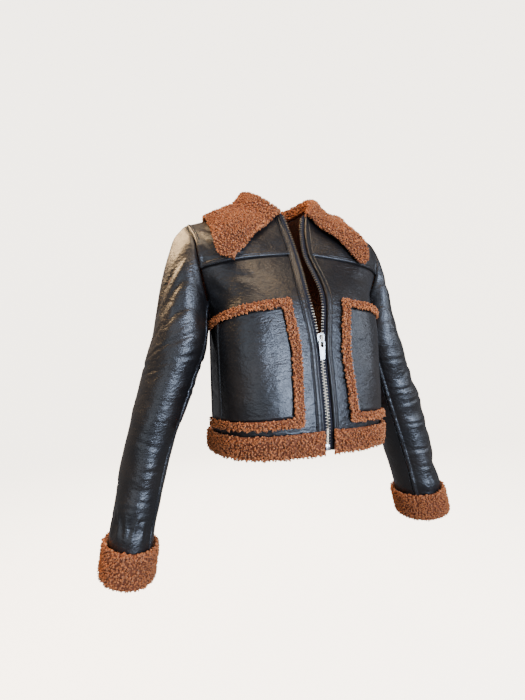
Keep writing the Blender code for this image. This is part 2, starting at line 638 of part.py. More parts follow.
def placket(left):
    """The raised strips beside the zip, from the hem band to the neckline."""
    grid, normal = whole_front(left)
    area = np.s_[HEM_ROW:, : PLACKET_COLUMN + 1]
    rise = np.full(grid[area].shape[:2], PLACKET_RISE * 0.6)
    rise[:, 1] = PLACKET_RISE
    grid = grid[area].copy()
    grid[0] += unit(grid[1] - grid[0]) * SEAM
    grid[-1] += unit(grid[-2] - grid[-1]) * PLACKET_RISE

    def strip(name, points, normals):
        shell(name, points, normals, FAUX_LEATHER, rise, LIE)

    both_sides("placket", (grid, normal[area]), strip)


def hem_band(left):
    """The sherpa band round the hem, from one side of the zip to the other."""
    front, back = left["front"], left["back"]
    rows = slice(0, HEM_ROW + 1)
    half = np.concatenate([front.grid[rows, :-1], back.grid[rows]], axis=1)
    normal = np.concatenate([front.normal[rows, :-1], back.normal[rows]], axis=1)
    grid = np.concatenate([half, mirrored(half)[:, 1:]], axis=1)
    normal = np.concatenate([normal, mirrored(normal)[:, 1:]], axis=1)
    grid = grid.copy()
    grid[0] += unit(grid[0] - grid[1]) * BAND_DROP
    rise = np.full(grid.shape[:2], HEM_RISE)
    rise[0] = rise[-1] = HEM_EDGE_RISE
    rise[:, 0] = rise[:, -1] = HEM_EDGE_RISE
    shell("hem_band", grid, normal, SHERPA, rise, LIE)


def cuffs(halves):
    """The sherpa cuffs, turned up over the ends of the sleeves."""
    for side in ("left", "right"):
        top, under = halves[side]["sleeve_top"], halves[side]["sleeve_under"]
        rows = slice(CAP_RINGS + ARM_RINGS, None)
        grid = np.concatenate([top.grid[rows, :-1], under.grid[rows, :-1]], axis=1)
        normal = np.concatenate([top.normal[rows, :-1], under.normal[rows, :-1]], axis=1)
        grid = grid.copy()
        grid[-1] += unit(grid[-1] - grid[-2]) * BAND_DROP
        if side == "right":
            grid, normal = mirrored(grid), mirrored(normal)
        rise = np.full(grid.shape[:2], CUFF_RISE)
        rise[0] = rise[-1] = CUFF_EDGE_RISE
        shell(f"cuff_{side}", grid, normal, SHERPA, rise, LIE, closed=True)


def neck_seam(left):
    """The neckline from the right front edge round the back to the left, its w, and the panels' way up."""
    yoke, back = left["yoke"].grid, left["back"].grid
    corner = len(back[0]) - 1 - BACK_NECK_STEPS
    line = np.concatenate([yoke[-1, : FRONT_NECK_STEPS + 1], back[-1, corner + 1 :]])
    below = np.concatenate([yoke[-2, : FRONT_NECK_STEPS + 1], back[-2, corner + 1 :]])
    keys = np.linspace(0, 1, SAMPLES + 1)
    drawn = smooth(NECKLINE, keys)
    w = keys[np.linalg.norm(line[:, None] - drawn, axis=2).argmin(axis=1)]
    rows = np.column_stack([w, line, unit(line - below)])
    middles = (rows[1:] + rows[:-1]) / 2
    half = np.empty((len(rows) * 2 - 1, rows.shape[1]))
    half[::2], half[1::2] = rows, middles
    flip = (-1, -1, 1, 1, -1, 1, 1)
    whole = np.concatenate([half * flip, half[-2::-1]])
    return whole[:, 0], whole[:, 1:4], unit(whole[:, 4:])


def collar(left, halves):
    """The wide sherpa collar: it stands up from the neckline, rolls over and lies on the shoulders."""
    w, base, way = neck_seam(left)
    numbers = smooth(COLLAR, np.abs(w))
    flip = np.column_stack([np.where(w < 0, -1, 1), np.ones((len(w), 2))])
    stand, edge = numbers[:, :1], numbers[:, 1:] * flip
    edge[:, 0] -= LEFT_WING_IN * np.clip((w - 0.3) / 0.4, 0, 1)
    up = np.array((0, 0, 1.0))
    start = base + way * SEAM
    first = start + up * stand * COLLAR_ROLL
    lift = np.interp(w, (-0.5, 0.5), COLLAR_LIFT)[:, None] * np.clip(stand / COLLAR_FULL_STAND, 0.35, 1)
    last = edge - (edge - base) * 0.55 + up * lift
    s = np.linspace(0, 1, COLLAR_ROWS + 1)[:, None, None]
    under = (1 - s) ** 3 * start + 3 * s * (1 - s) ** 2 * first + 3 * s**2 * (1 - s) * last + s**3 * edge
    bow = COLLAR_BOW * np.clip((np.abs(w) - 0.80) / 0.20, 0, 1)[:, None]
    under = under - 4 * s * (1 - s) * bow * up
    under[1:] = clear_of(under[1:], left, halves)
    normal = corner_normals([under])[0]
    thick = np.full(under.shape[:2], COLLAR_THICK)
    thick[[0, -1]] = COLLAR_THICK * 0.55
    thick[:, [0, -1]] = COLLAR_THICK * 0.55
    shell("collar", under, normal, SHERPA, thick, 0.0)


def clear_of(points, left, halves):
    """The points moved out of the torso, the plackets and the sleeve heads, and a little clear of them."""
    corners, faces = [], []
    front, front_normal = whole_front(left)
    front = front.copy()
    front[:, : PLACKET_COLUMN + 1] += front_normal[:, : PLACKET_COLUMN + 1] * PLACKET_RISE
    for grid in (front, left["back"].grid, halves["left"]["sleeve_top"].grid[: CAP_RINGS + 1]):
        for copy in (grid, mirrored(grid)):
            number = np.arange(copy.shape[0] * copy.shape[1]).reshape(copy.shape[:2]) + len(corners)
            corners.extend(Vector(point) for point in copy.reshape(-1, 3))
            quads = np.stack([number[:-1, :-1], number[:-1, 1:], number[1:, 1:], number[1:, :-1]], axis=2)
            faces.extend(tuple(int(i) for i in quad) for quad in quads.reshape(-1, 4))
    tree = BVHTree.FromPolygons(corners, faces)
    moved = points.copy()
    rows, columns = points.shape[:2]
    part = np.arange(0, 1, 0.25)
    for _ in range(CLEARING_ROUNDS):
        push = np.zeros_like(moved)
        for row, column in np.ndindex(rows - 1, columns - 1):
            cell = moved[row : row + 2, column : column + 2]
            area = push[row : row + 2, column : column + 2]
            for s in part:
                for t in part:
                    share = np.outer((1 - s, s), (1 - t, t))[..., None]
                    point = Vector((cell * share).sum(axis=(0, 1)))
                    near, normal, _, _ = tree.find_nearest(point)
                    short = COLLAR_CLEAR - (point - near).dot(normal)
                    if short > 0:
                        wanted = np.array(normal) * short * (share > 0.2)
                        area[np.abs(wanted) > np.abs(area)] = wanted[np.abs(wanted) > np.abs(area)]
        if not push.any():
            break
        moved += push
    return moved


def zip_line(left):
    """The front edge's points and normals, and its inward direction, from the hem to the neckline."""
    grid, normal = whole_front(left)
    return grid[:, 0], normal[:, 0]


def ribbon(left, near, far, thick, finish, name, rows):
    """A strip of the zip along each front edge, between two distances from the edge towards the other side."""
    edge, normal = zip_line(left)
    edge, normal = edge[rows] - normal[rows] * LEATHER / 2, unit(normal[rows] * (0, 1, 1))
    grid = np.stack([edge - (far, 0, 0), edge - (near, 0, 0)], axis=1)
    normals = np.stack([normal, normal], axis=1)
    both_sides(
        name, (grid, normals), lambda name, points, normal: shell(name, points, normal, finish, thick / 2, -thick / 2)
    )


def zip_rows(left):
    """The two tapes and the two rows of teeth, each row a plain bar. The teeth start over the box."""
    chain_far, tape_far = ZIP_EDGE - SEAM / 2, ZIP_EDGE - CHAIN_HALF - SEAM
    ribbon(left, SEAM, tape_far, TAPE_THICK, ZIP_TAPE, "zip_tape", slice(0, None))
    ribbon(left, ZIP_EDGE - CHAIN_HALF, chain_far, CHAIN_THICK, ZIP_TEETH, "zip_teeth", slice(1, None))


def outline(name, loops, thick, finish):
    """A flat solid from closed outlines of (across, up) points. A second outline is a hole."""
    curve = bpy.data.curves.new(name, "CURVE")
    curve.dimensions = "2D"
    curve.fill_mode = "BOTH"
    curve.extrude = thick / 2
    for loop in loops:
        spline = curve.splines.new("POLY")
        spline.points.add(len(loop) - 1)
        for point, (across, up) in zip(spline.points, loop):
            point.co = (across, up, 0, 1)
        spline.use_cyclic_u = True
    drawn = bpy.data.objects.new(name + "_drawn", curve)
    bpy.context.scene.collection.objects.link(drawn)
    mesh = bpy.data.meshes.new_from_object(drawn.evaluated_get(bpy.context.evaluated_depsgraph_get()))
    bpy.data.objects.remove(drawn)
    solid = bmesh.new()
    solid.from_mesh(mesh)
    bmesh.ops.remove_doubles(solid, verts=solid.verts, dist=1e-6)
    bmesh.ops.recalc_face_normals(solid, faces=solid.faces)
    solid.to_mesh(mesh)
    solid.free()
    mesh.name = name
    mesh.materials.clear()
    mesh.materials.append(finish)
    item = bpy.data.objects.new(name, mesh)
    JACKET.objects.link(item)
    return item


def block(name, size, centre, bevel):
    """A box in the zip's frame, given as across, up and out, with rounded edges."""
    solid = bmesh.new()
    bmesh.ops.create_cube(solid, size=1, matrix=Matrix.Translation(centre) @ Matrix.Diagonal((*size, 1)))
    if bevel:
        bmesh.ops.bevel(solid, geom=solid.edges[:], offset=bevel, segments=2, affect="EDGES", profile=0.5)
    mesh = bpy.data.meshes.new(name)
    solid.to_mesh(mesh)
    solid.free()
    mesh.materials.append(SLIDER_METAL)
    item = bpy.data.objects.new(name, mesh)
    JACKET.objects.link(item)
    return item


def rounded(points, radius, steps=4):
    """A closed outline with its corners rounded."""
    result = []
    for before, corner, after in zip(points[-1:] + points[:-1], points, points[1:] + points[:1]):
        corner = np.array(corner)
        a, b = (unit(np.array(end) - corner) * radius for end in (before, after))
        for s in np.linspace(0, 1, steps + 1):
            result.append(tuple((1 - s) ** 2 * (corner + a) + 2 * s * (1 - s) * corner + s**2 * (corner + b)))
    return result


def join_solids(target, others):
    """One solid from several that overlap."""
    for other in others:
        union = target.modifiers.new("union", "BOOLEAN")
        union.operation = "UNION"
        union.object = other
    mesh = bpy.data.meshes.new_from_object(target.evaluated_get(bpy.context.evaluated_depsgraph_get()))
    target.modifiers.clear()
    target.data = mesh
    for other in others:
        bpy.data.objects.remove(other)


def slider_frame(left):
    """The frame at the pull tab's axis: across the zip, up along it, and out of the cloth."""
    edge, normal = zip_line(left)
    order = np.argsort(edge[:, 2])
    y = np.interp((SLIDER_Z - 0.01, SLIDER_Z, SLIDER_Z + 0.01), edge[order, 2], edge[order, 1])
    up = unit(np.array((0, y[2] - y[0], 0.02)))
    out = np.cross((1.0, 0, 0), up)
    middle = np.array((0, y[1], SLIDER_Z)) + np.array((0, 1, 0)) * LEATHER / 2
    origin = middle + out * (CHAIN_THICK / 2 + LIE + PLATE + AXIS_RISE)
    turn = Matrix((Vector((1, 0, 0)), Vector(up), Vector(out))).transposed().to_4x4()
    return Matrix.Translation(origin) @ turn


def slider(frame):
    """The slider: a plate on each side of the teeth, the wedge between them, and the bail for the tab."""
    low, high = -AXIS_FROM_BOTTOM, SLIDER_LENGTH - AXIS_FROM_BOTTOM
    shield = rounded(
        [
            (-SLIDER_BOTTOM / 2, low),
            (SLIDER_BOTTOM / 2, low),
            (SLIDER_TOP / 2, high * 0.62),
            (SLIDER_TOP * 0.32, high),
            (-SLIDER_TOP * 0.32, high),
            (-SLIDER_TOP / 2, high * 0.62),
        ],
        0.0016,
    )
    front_plate = -AXIS_RISE - PLATE / 2
    back_plate = front_plate - PLATE - CHAIN_THICK - 2 * LIE
    plates = []
    for name, out in (("zip_slider", front_plate), ("slider_back", back_plate)):
        plate = outline(name, [shield], PLATE, SLIDER_METAL)
        plate.data.transform(Matrix.Translation((0, 0, out)))
        plates.append(plate)
    wedge_depth = front_plate - back_plate
    wedge_middle = (0, high - 0.0022, (front_plate + back_plate) / 2)
    wedge = block("wedge", (0.0018, 0.0024, wedge_depth), wedge_middle, 0)
    bar_out = AXIS_RISE + BAIL_BAR / 2
    length = BAIL_LOW + BAIL_HIGH + 2 * BAIL_BAR
    middle = (BAIL_HIGH - BAIL_LOW) / 2
    posts = []
    for place in (-BAIL_LOW - BAIL_BAR / 2, BAIL_HIGH + BAIL_BAR / 2):
        rise = AXIS_RISE + BAIL_BAR / 2 - front_plate
        posts.append(block("post", (BAIL_WIDTH, BAIL_BAR, rise), (0, place, front_plate + rise / 2), 0))
    bar = block("bar", (BAIL_WIDTH, length, BAIL_BAR), (0, middle, bar_out), 0.0004)
    join_solids(plates[0], [plates[1], wedge, bar, *posts])
    plates[0].matrix_world = frame
    return plates[0]


def pull_tab(frame):
    """The pull tab, with its origin on the axis of its top bar."""
    top, low = TAB_BAR / 2, -TAB_LENGTH
    corners = [(-TAB_BOTTOM / 2, low), (TAB_BOTTOM / 2, low), (TAB_TOP / 2, top), (-TAB_TOP / 2, top)]
    outer = rounded(corners, 0.0016)
    slot_low = -SLOT_LENGTH
    half = SLOT_WIDTH / 2
    hole = rounded([(-half, slot_low), (half, slot_low), (half, -TAB_BAR / 2), (-half, -TAB_BAR / 2)], 0.0016)
    tab = outline("zip_pull_tab", [outer, hole], TAB_THICK, SLIDER_METAL)
    tab.matrix_world = frame @ Matrix.Rotation(math.radians(TAB_REST_LEAN), 4, "X")
    return tab


def zip_box(left):
    """The box at the zip's lower end, which holds the pin."""
    edge, _ = zip_line(left)
    z = edge[1, 2] - SEAM - BOX_HEIGHT / 2
    y = np.interp(z, edge[:2, 2], edge[:2, 1])
    box = block("zip_box", (2 * CHAIN_HALF, BOX_THICK, BOX_HEIGHT), (0, 0, 0), 0.0008)
    box.location = (0, y + LEATHER / 2, z)


def material(name, colour, roughness, metallic=0.0):
    made = bpy.data.materials.new(name)
    made.use_nodes = True
    shader = made.node_tree.nodes["Principled BSDF"]
    shader.inputs["Base Color"].default_value = (*colour, 1)
    shader.inputs["Roughness"].default_value = roughness
    shader.inputs["Metallic"].default_value = metallic
    made.diffuse_color = (*colour, 1)
    return made


def clear_scene():
    for item in list(bpy.data.objects):
        bpy.data.objects.remove(item, do_unlink=True)


clear_scene()
JACKET = bpy.data.collections.new("faux_leather_jacket")
bpy.context.scene.collection.children.link(JACKET)
FAUX_LEATHER = material("faux_leather", (0.022, 0.018, 0.017), 0.36)
SHERPA = material("sherpa", (0.300, 0.098, 0.042), 0.95)
ZIP_TAPE = material("zip_tape", (0.012, 0.013, 0.020), 0.75)
ZIP_TEETH = material("zip_teeth", (0.62, 0.52, 0.38), 0.30, 1.0)
SLIDER_METAL = material("slider_metal", (0.85, 0.85, 0.86), 0.22, 1.0)
halves = {side: left_half(side) for side in ("left", "right")}
left = halves["left"]
torso_and_sleeves(halves)
pocket(left)
placket(left)
hem_band(left)
cuffs(halves)
collar(left, halves)
zip_rows(left)
zip_box(left)
frame = slider_frame(left)
slider(frame)
pull_tab(frame)
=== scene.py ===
"""Looks of the faux leather jacket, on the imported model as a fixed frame. Metres, in the row's frame.

The surfaces are worked out again from the same named sizes and tables as the part's source, more finely,
and get seams, topstitching, creases, pile, zip teeth and procedural materials.
"""

import math

import bmesh
import bpy
import numpy as np
from mathutils import Matrix, Vector
from mathutils.bvhtree import BVHTree


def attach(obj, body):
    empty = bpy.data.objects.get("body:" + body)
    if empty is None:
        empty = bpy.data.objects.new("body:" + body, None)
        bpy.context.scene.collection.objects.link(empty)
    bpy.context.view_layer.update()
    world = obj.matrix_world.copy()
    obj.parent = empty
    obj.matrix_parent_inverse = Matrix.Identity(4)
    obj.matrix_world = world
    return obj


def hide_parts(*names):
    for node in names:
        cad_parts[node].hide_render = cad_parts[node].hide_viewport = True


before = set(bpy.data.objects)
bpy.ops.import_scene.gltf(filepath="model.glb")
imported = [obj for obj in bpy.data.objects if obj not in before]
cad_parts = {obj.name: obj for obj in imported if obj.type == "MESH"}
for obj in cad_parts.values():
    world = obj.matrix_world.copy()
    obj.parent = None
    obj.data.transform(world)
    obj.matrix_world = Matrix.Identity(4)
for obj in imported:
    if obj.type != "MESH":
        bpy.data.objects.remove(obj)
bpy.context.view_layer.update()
JACKET_BODY, TAB_BODY = "jacket", "pull_tab"

# Driving sizes
LEATHER = 0.0030  # wall of the bonded faux leather
SEAM = 0.0004  # gap between two pieces at a seam
LIE = 0.0004  # gap between a panel and what lies on it
ZIP_EDGE = 0.0090  # from a row of teeth's free ends to the panel's front edge
CHAIN_HALF = 0.0043  # half the width of the closed chain of teeth
CHAIN_THICK = 0.0030
TAPE_THICK = 0.0010
PLACKET_WIDTH = 0.0130
PLACKET_RISE = 0.0030
TRIM_WIDTH = 0.0165  # the sherpa edge round a pocket
TRIM_RISE = 0.0080
PATCH_RISE = 0.0030
WELT_WIDTH, WELT_RISE = 0.0130, 0.0038
WELT_FROM_SIDE = 0.0620  # from the side seam to the welt's front edge
TRIM_TO_SIDE = 0.0100  # from the upper trim's end, under the armpit, to the side seam
COLLAR_THICK = 0.0080
COLLAR_CLEAR = 0.0032  # least gap between the collar and what it lies on
BAND_RISE = 0.0105  # thickness of the hem band and the cuffs, above the leather
BAND_DROP = 0.0040  # how far the hem band and the cuffs reach past the leather
SHOULDER_TIP = (0.1910, 0.0040, -0.0500)
SHOULDER_DIP = 0.0030  # how far the shoulder seam sags between the neck and the shoulder tip
NECK_SHARE = 0.40  # share of a panel's top edge, before it is divided into steps, that is neckline

# Rows of the front panel, from the hem to the last row under the neckline. A row starts at the front edge
# and ends at the side seam or the armhole. A reach is a handle's length, and a turn its heading in degrees.
# Columns: key v, in y, in z, out x, out y, out z, in reach, in turn, out reach, out turn
FRONT_ROWS = (
    (0.0, -0.151, -0.462, 0.157, 0.002, -0.466, 0.12, 0, 0.1, 90),
    (0.12, -0.155, -0.416, 0.157, 0.002, -0.424, 0.124, 0, 0.11, 90),
    (0.31, -0.145, -0.311, 0.157, 0.002, -0.332, 0.126, 0, 0.12, 90),
    (0.5, -0.131, -0.203, 0.156, 0.0, -0.232, 0.12, 0, 0.106, 90),
    (0.55, -0.123, -0.185, 0.16, -0.014, -0.216, 0.112, -1, 0.088, 84),
    (0.62, -0.109, -0.16, 0.168, -0.034, -0.192, 0.098, -3, 0.068, 76),
    (0.74, -0.082, -0.118, 0.181, -0.052, -0.143, 0.068, -6, 0.054, 52),
    (0.86, -0.064, -0.076, 0.187, -0.045, -0.093, 0.05, -8, 0.052, 38),
)
# Rows of the back panel, from the centre back to the side seam or the armhole.
BACK_ROWS = (
    (0.0, 0.116, -0.47, 0.157, 0.002, -0.466, 0.09, 0, 0.068, -90),
    (0.12, 0.112, -0.426, 0.157, 0.002, -0.424, 0.09, 0, 0.067, -90),
    (0.31, 0.108, -0.332, 0.157, 0.002, -0.332, 0.09, 0, 0.064, -90),
    (0.5, 0.116, -0.226, 0.156, 0.0, -0.232, 0.09, 0, 0.066, -90),
    (0.55, 0.119, -0.206, 0.16, 0.016, -0.216, 0.088, 0, 0.06, -80),
    (0.62, 0.122, -0.178, 0.168, 0.04, -0.192, 0.084, 0, 0.054, -66),
    (0.74, 0.122, -0.128, 0.182, 0.064, -0.143, 0.076, 0, 0.052, -48),
    (0.86, 0.108, -0.072, 0.188, 0.056, -0.093, 0.066, 0, 0.052, -38),
)
ARMPIT_V, YOKE_V = 0.50, 0.74
# From the panel's front edge to the pocket's trim, by the key of the row
# Columns: key v, inset
POCKET_INSET = (
    (0.0, 0.036), (0.12, 0.035), (0.2, 0.033), (0.31, 0.03), (0.5, 0.03), (1.0, 0.03),
)
# Half the gap between the two rows of teeth, by height: shut below the slider, and open above it.
# Columns: z, half gap
OPENING = (
    (-0.5, 0.0), (-0.3, 0.0), (-0.28, 0.0), (-0.2645, 0.0028), (-0.247, 0.0048), (-0.225, 0.008),
    (-0.19, 0.0105), (-0.15, 0.0075), (-0.116, 0.005), (-0.08, 0.008), (-0.05, 0.014), (-0.03, 0.02),
)
# The neckline from the centre back, w 0, over the shoulder seam, w 0.5, to the front edge, w 1.
# Columns: w, x, y, z
NECKLINE = (
    (-0.25, -0.04, 0.06, -0.008), (0.0, 0.0, 0.074, -0.012), (0.25, 0.04, 0.06, -0.008),
    (0.5, 0.066, 0.014, 0.0), (0.75, 0.054, -0.029, -0.014), (1.0, 0.028, -0.052, -0.036),
)
# The collar, by the same w: how high it stands before it rolls over, and where its outer edge lies.
# Columns: w, stand, out x, out y, out z
COLLAR = (
    (-0.25, 0.04, -0.074, 0.123, -0.074), (0.0, 0.04, 0.0, 0.14, -0.078),
    (0.25, 0.042, 0.074, 0.123, -0.074), (0.5, 0.042, 0.124, 0.068, -0.068),
    (0.7, 0.028, 0.146, 0.01, -0.062), (0.83, 0.018, 0.151, -0.03, -0.09),
    (0.92, 0.011, 0.1465, -0.057, -0.132), (1.0, 0.006, 0.129, -0.074, -0.135),
)
LEFT_WING_IN = 0.0140  # the left wing lies this much closer to the neck than the right
COLLAR_FULL_STAND = 0.0420
COLLAR_ROLL = 1.45  # height of the roll's handle, as a multiple of the stand
COLLAR_LIFT = (0.0070, 0.0)  # how far the fall bulges up over the right and the left shoulder
COLLAR_BOW = 0.0030  # how far each front edge bows down and out between the zip and the collar's point
COLLAR_ROWS = 7
CLEARING_ROUNDS = 10
# Rings of each sleeve below the armpit: the centre, half the widths across and front to back, and the lean
# Columns: place t, x, y, z, half width, half depth, lean
SLEEVES = {
    "right": (
        (0.0, 0.216, 0.004, -0.275, 0.0505, 0.0665, 16), (0.25, 0.249, 0.009, -0.37, 0.046, 0.0625, 16),
        (0.4, 0.2695, 0.01, -0.43, 0.043, 0.059, 15), (0.57, 0.289, 0.008, -0.5, 0.04, 0.055, 13),
        (0.7, 0.3005, 0.004, -0.55, 0.038, 0.0525, 12), (0.88, 0.314, 0.0, -0.616, 0.037, 0.051, 11),
        (1.0, 0.3225, -0.003, -0.664, 0.037, 0.051, 11),
    ),
    "left": (
        (0.0, 0.209, 0.004, -0.275, 0.046, 0.068, 17), (0.25, 0.246, 0.009, -0.37, 0.049, 0.065, 16),
        (0.4, 0.268, 0.01, -0.43, 0.051, 0.063, 15), (0.57, 0.287, 0.008, -0.5, 0.048, 0.06, 13),
        (0.7, 0.297, 0.004, -0.55, 0.045, 0.057, 12), (0.88, 0.309, 0.0, -0.612, 0.043, 0.054, 11),
        (1.0, 0.317, -0.003, -0.658, 0.043, 0.054, 11),
    ),
}
# How strongly the sleeve's head leaves the armhole's top, outwards and downwards
SHOULDER_SWELL = {"right": (0.150, -0.085), "left": (0.085, -0.090)}
ARM_LENGTH, GIRTH = 0.41, 0.33  # along the sleeve below the armpit, and round it
CAP_T = -0.3  # place of the armhole along the sleeve, above the armpit at 0
CUFF_T = 0.868  # where the cuff's upper edge crosses the sleeve
BACK_SEAM, FRONT_SEAM = 4, 18  # ring points of the sleeve's two seams, counted from the armpit by the back
# The largest folds of each sleeve: place round the ring (0 is the armpit, 0.25 the back, 0.75 the front),
# place down the sleeve, heading across the ring in degrees, length, width and depth. A trough is negative.
# Columns: around, along, heading, length, width, depth
FOLDS = {
    "right": (
        (0.64, 0.835, 0, 0.15, 0.013, 0.004), (0.7, 0.6, -4, 0.09, 0.012, -0.003),
        (0.78, 0.44, 6, 0.08, 0.012, -0.003), (0.4, 0.38, -8, 0.09, 0.013, -0.003),
        (0.25, 0.56, 0, 0.09, 0.013, -0.003), (0.74, -0.12, -38, 0.08, 0.012, -0.003),
    ),
    "left": (
        (0.7, 0.23, -14, 0.11, 0.013, -0.0055), (0.68, 0.14, 8, 0.08, 0.012, -0.003),
        (0.7, 0.4, 0, 0.1, 0.013, -0.004), (0.66, 0.51, -4, 0.08, 0.012, -0.003),
        (0.64, 0.72, 0, 0.08, 0.013, -0.0035), (0.38, 0.3, 8, 0.09, 0.013, -0.0035),
        (0.66, 0.835, 0, 0.14, 0.013, 0.0035),
    ),
}

# Keys of the rows: the hem band, the pocket's trim and patch, the chest over the armpit, and the yoke
HEM_V = (0.0, 0.032, 0.064, 0.0955)
TRIM_LOW_V = (0.12, 0.135, 0.15)
TRIM_HIGH_V = (0.47, 0.485, ARMPIT_V)
PATCH_STEPS, CHEST_STEPS, YOKE_STEPS = 5, 5, 5
FRONT_MIDDLE_STEPS, BACK_STEPS = 5, 10
FRONT_NECK_STEPS, BACK_NECK_STEPS = 8, 4  # steps of each panel's top edge that lie on the neckline
SAMPLES = 160  # points of a row before it is divided into steps
CAP_RINGS, ARM_RINGS, CUFF_RINGS = 6, 17, 4

# Slider and pull tab, in the zip's own frame: across, out of the cloth, and up along the zip
SLIDER_LENGTH, SLIDER_TOP, SLIDER_BOTTOM, PLATE = 0.0160, 0.0155, 0.0110, 0.0015
AXIS_FROM_BOTTOM = 0.0045
AXIS_RISE = 0.0015  # from the slider's front plate to the tab's axis
BAIL_WIDTH, BAIL_BAR, BAIL_LOW, BAIL_HIGH = 0.0030, 0.0014, 0.0014, 0.0066
TAB_LENGTH, TAB_TOP, TAB_BOTTOM, TAB_THICK = 0.0340, 0.0120, 0.0085, 0.0018
TAB_BAR = 0.0016  # height of the tab's top bar, which turns in the bail
SLOT_LENGTH, SLOT_WIDTH = 0.0125, 0.0055
TAB_REST_LEAN = 3.0  # degrees by which the tab's tip leans in towards the teeth
SLIDER_Z = -0.2765  # height of the tab's axis on the zip
BOX_HEIGHT, BOX_THICK = 0.0110, 0.0046  # the retainer at the zip's lower end


def hermite(s, start, leave, end, arrive):
    """Points at the shares s of a curve between two ends, with its slopes there."""
    return (
        (1 + 2 * s) * (1 - s) ** 2 * start
        + s * (1 - s) ** 2 * leave
        + s**2 * (3 - 2 * s) * end
        + s**2 * (s - 1) * arrive
    )


def bezier(s, start, first, last, end):
    """Points at the shares s of a curve with two handles."""
    return (1 - s) ** 3 * start + 3 * s * (1 - s) ** 2 * first + 3 * s**2 * (1 - s) * last + s**3 * end


def smooth(table, keys):
    """Values at the given keys, on a smooth curve through a table's rows. The first column is the key."""
    table = np.asarray(table, float)
    key, value = table[:, 0], table[:, 1:]
    slope = np.gradient(value, key, axis=0)
    keys = np.clip(np.atleast_1d(np.asarray(keys, float)), key[0], key[-1])
    row = np.clip(np.searchsorted(key, keys, side="right") - 1, 0, len(key) - 2)
    step = key[row + 1] - key[row]
    s = ((keys - key[row]) / step)[:, None]
    step = step[:, None]
    return hermite(s, value[row], step * slope[row], value[row + 1], step * slope[row + 1])


def unit(vectors):
    return vectors / np.maximum(np.linalg.norm(vectors, axis=-1, keepdims=True), 1e-12)


def opening(z):
    """Half the gap between the two rows of teeth at the heights z."""
    z = np.asarray(z, float)
    return np.maximum(smooth(OPENING, z.ravel())[:, 0].reshape(z.shape), 0)


def row_curve(row, inner_x, u):
    """Points of one panel row at the shares u, from its front edge or centre back to its outer end."""
    _, in_y, in_z, out_x, out_y, out_z, in_reach, in_turn, out_reach, out_turn = row
    a, b = math.radians(in_turn), math.radians(out_turn)
    start = np.array((inner_x, in_y, in_z))
    end = np.array((out_x, out_y, out_z))
    drop = (end - start) * (0, 0, 1) / 3
    first = start + drop + in_reach * np.array((math.cos(a), math.sin(a), 0))
    last = end - drop - out_reach * np.array((math.cos(b), math.sin(b), 0))
    return bezier(u[:, None], start, first, last, end)


def top_row(w_inner, u):
    """Points of a panel's top edge: the neckline from w_inner to the shoulder seam, then along that seam."""
    neck = smooth(NECKLINE, w_inner + (0.5 - w_inner) * np.clip(u / NECK_SHARE, 0, 1))
    along = np.clip((u - NECK_SHARE) / (1 - NECK_SHARE), 0, 1)[:, None]
    corner = smooth(NECKLINE, 0.5)
    seam = corner + along * (np.array(SHOULDER_TIP) - corner)
    seam = seam + 4 * along * (1 - along) * np.array((0, 0, -SHOULDER_DIP))
    return np.where(u[:, None] <= NECK_SHARE, neck, seam)


def reaches(points):
    """How far each point of a line lies along it."""
    return np.concatenate([[0], np.cumsum(np.linalg.norm(np.diff(points, axis=0), axis=1))])


def at_places(places, reach, points):
    """The points at the given places of a line, whose own points lie at the places in reach."""
    return np.stack([np.interp(places, reach, points[:, axis]) for axis in range(3)], axis=1)


def row_length(points):
    return np.linalg.norm(np.diff(points, axis=0), axis=1).sum()


def front_places(length, key):
    """Where the front's columns lie along a row: placket, trim, pocket patch, welt and side seam."""
    trim = smooth(POCKET_INSET, key)[0, 0]
    near = [0, PLACKET_WIDTH / 2, PLACKET_WIDTH, trim, trim + TRIM_WIDTH / 2]
    patch = np.linspace(trim + TRIM_WIDTH, length - WELT_FROM_SIDE, FRONT_MIDDLE_STEPS + 1)
    welt_end, trim_end = length - WELT_FROM_SIDE + WELT_WIDTH, length - TRIM_TO_SIDE
    return np.concatenate([near, patch, [welt_end, (welt_end + trim_end) / 2, trim_end, length]])


def back_places(length, _):
    return np.linspace(0, length, BACK_STEPS + 1)


def top_places(points, fixed, neck_steps, steps):
    """Where the columns lie along a top edge: the fixed ones, then even steps to its corner and its end."""
    corner = row_length(points[: int(round(NECK_SHARE * SAMPLES)) + 1])
    neck = np.linspace(fixed[-1], corner, neck_steps - len(fixed) + 2)[1:]
    seam = np.linspace(corner, row_length(points), steps - neck_steps + 1)[1:]
    return np.concatenate([fixed, neck, seam])


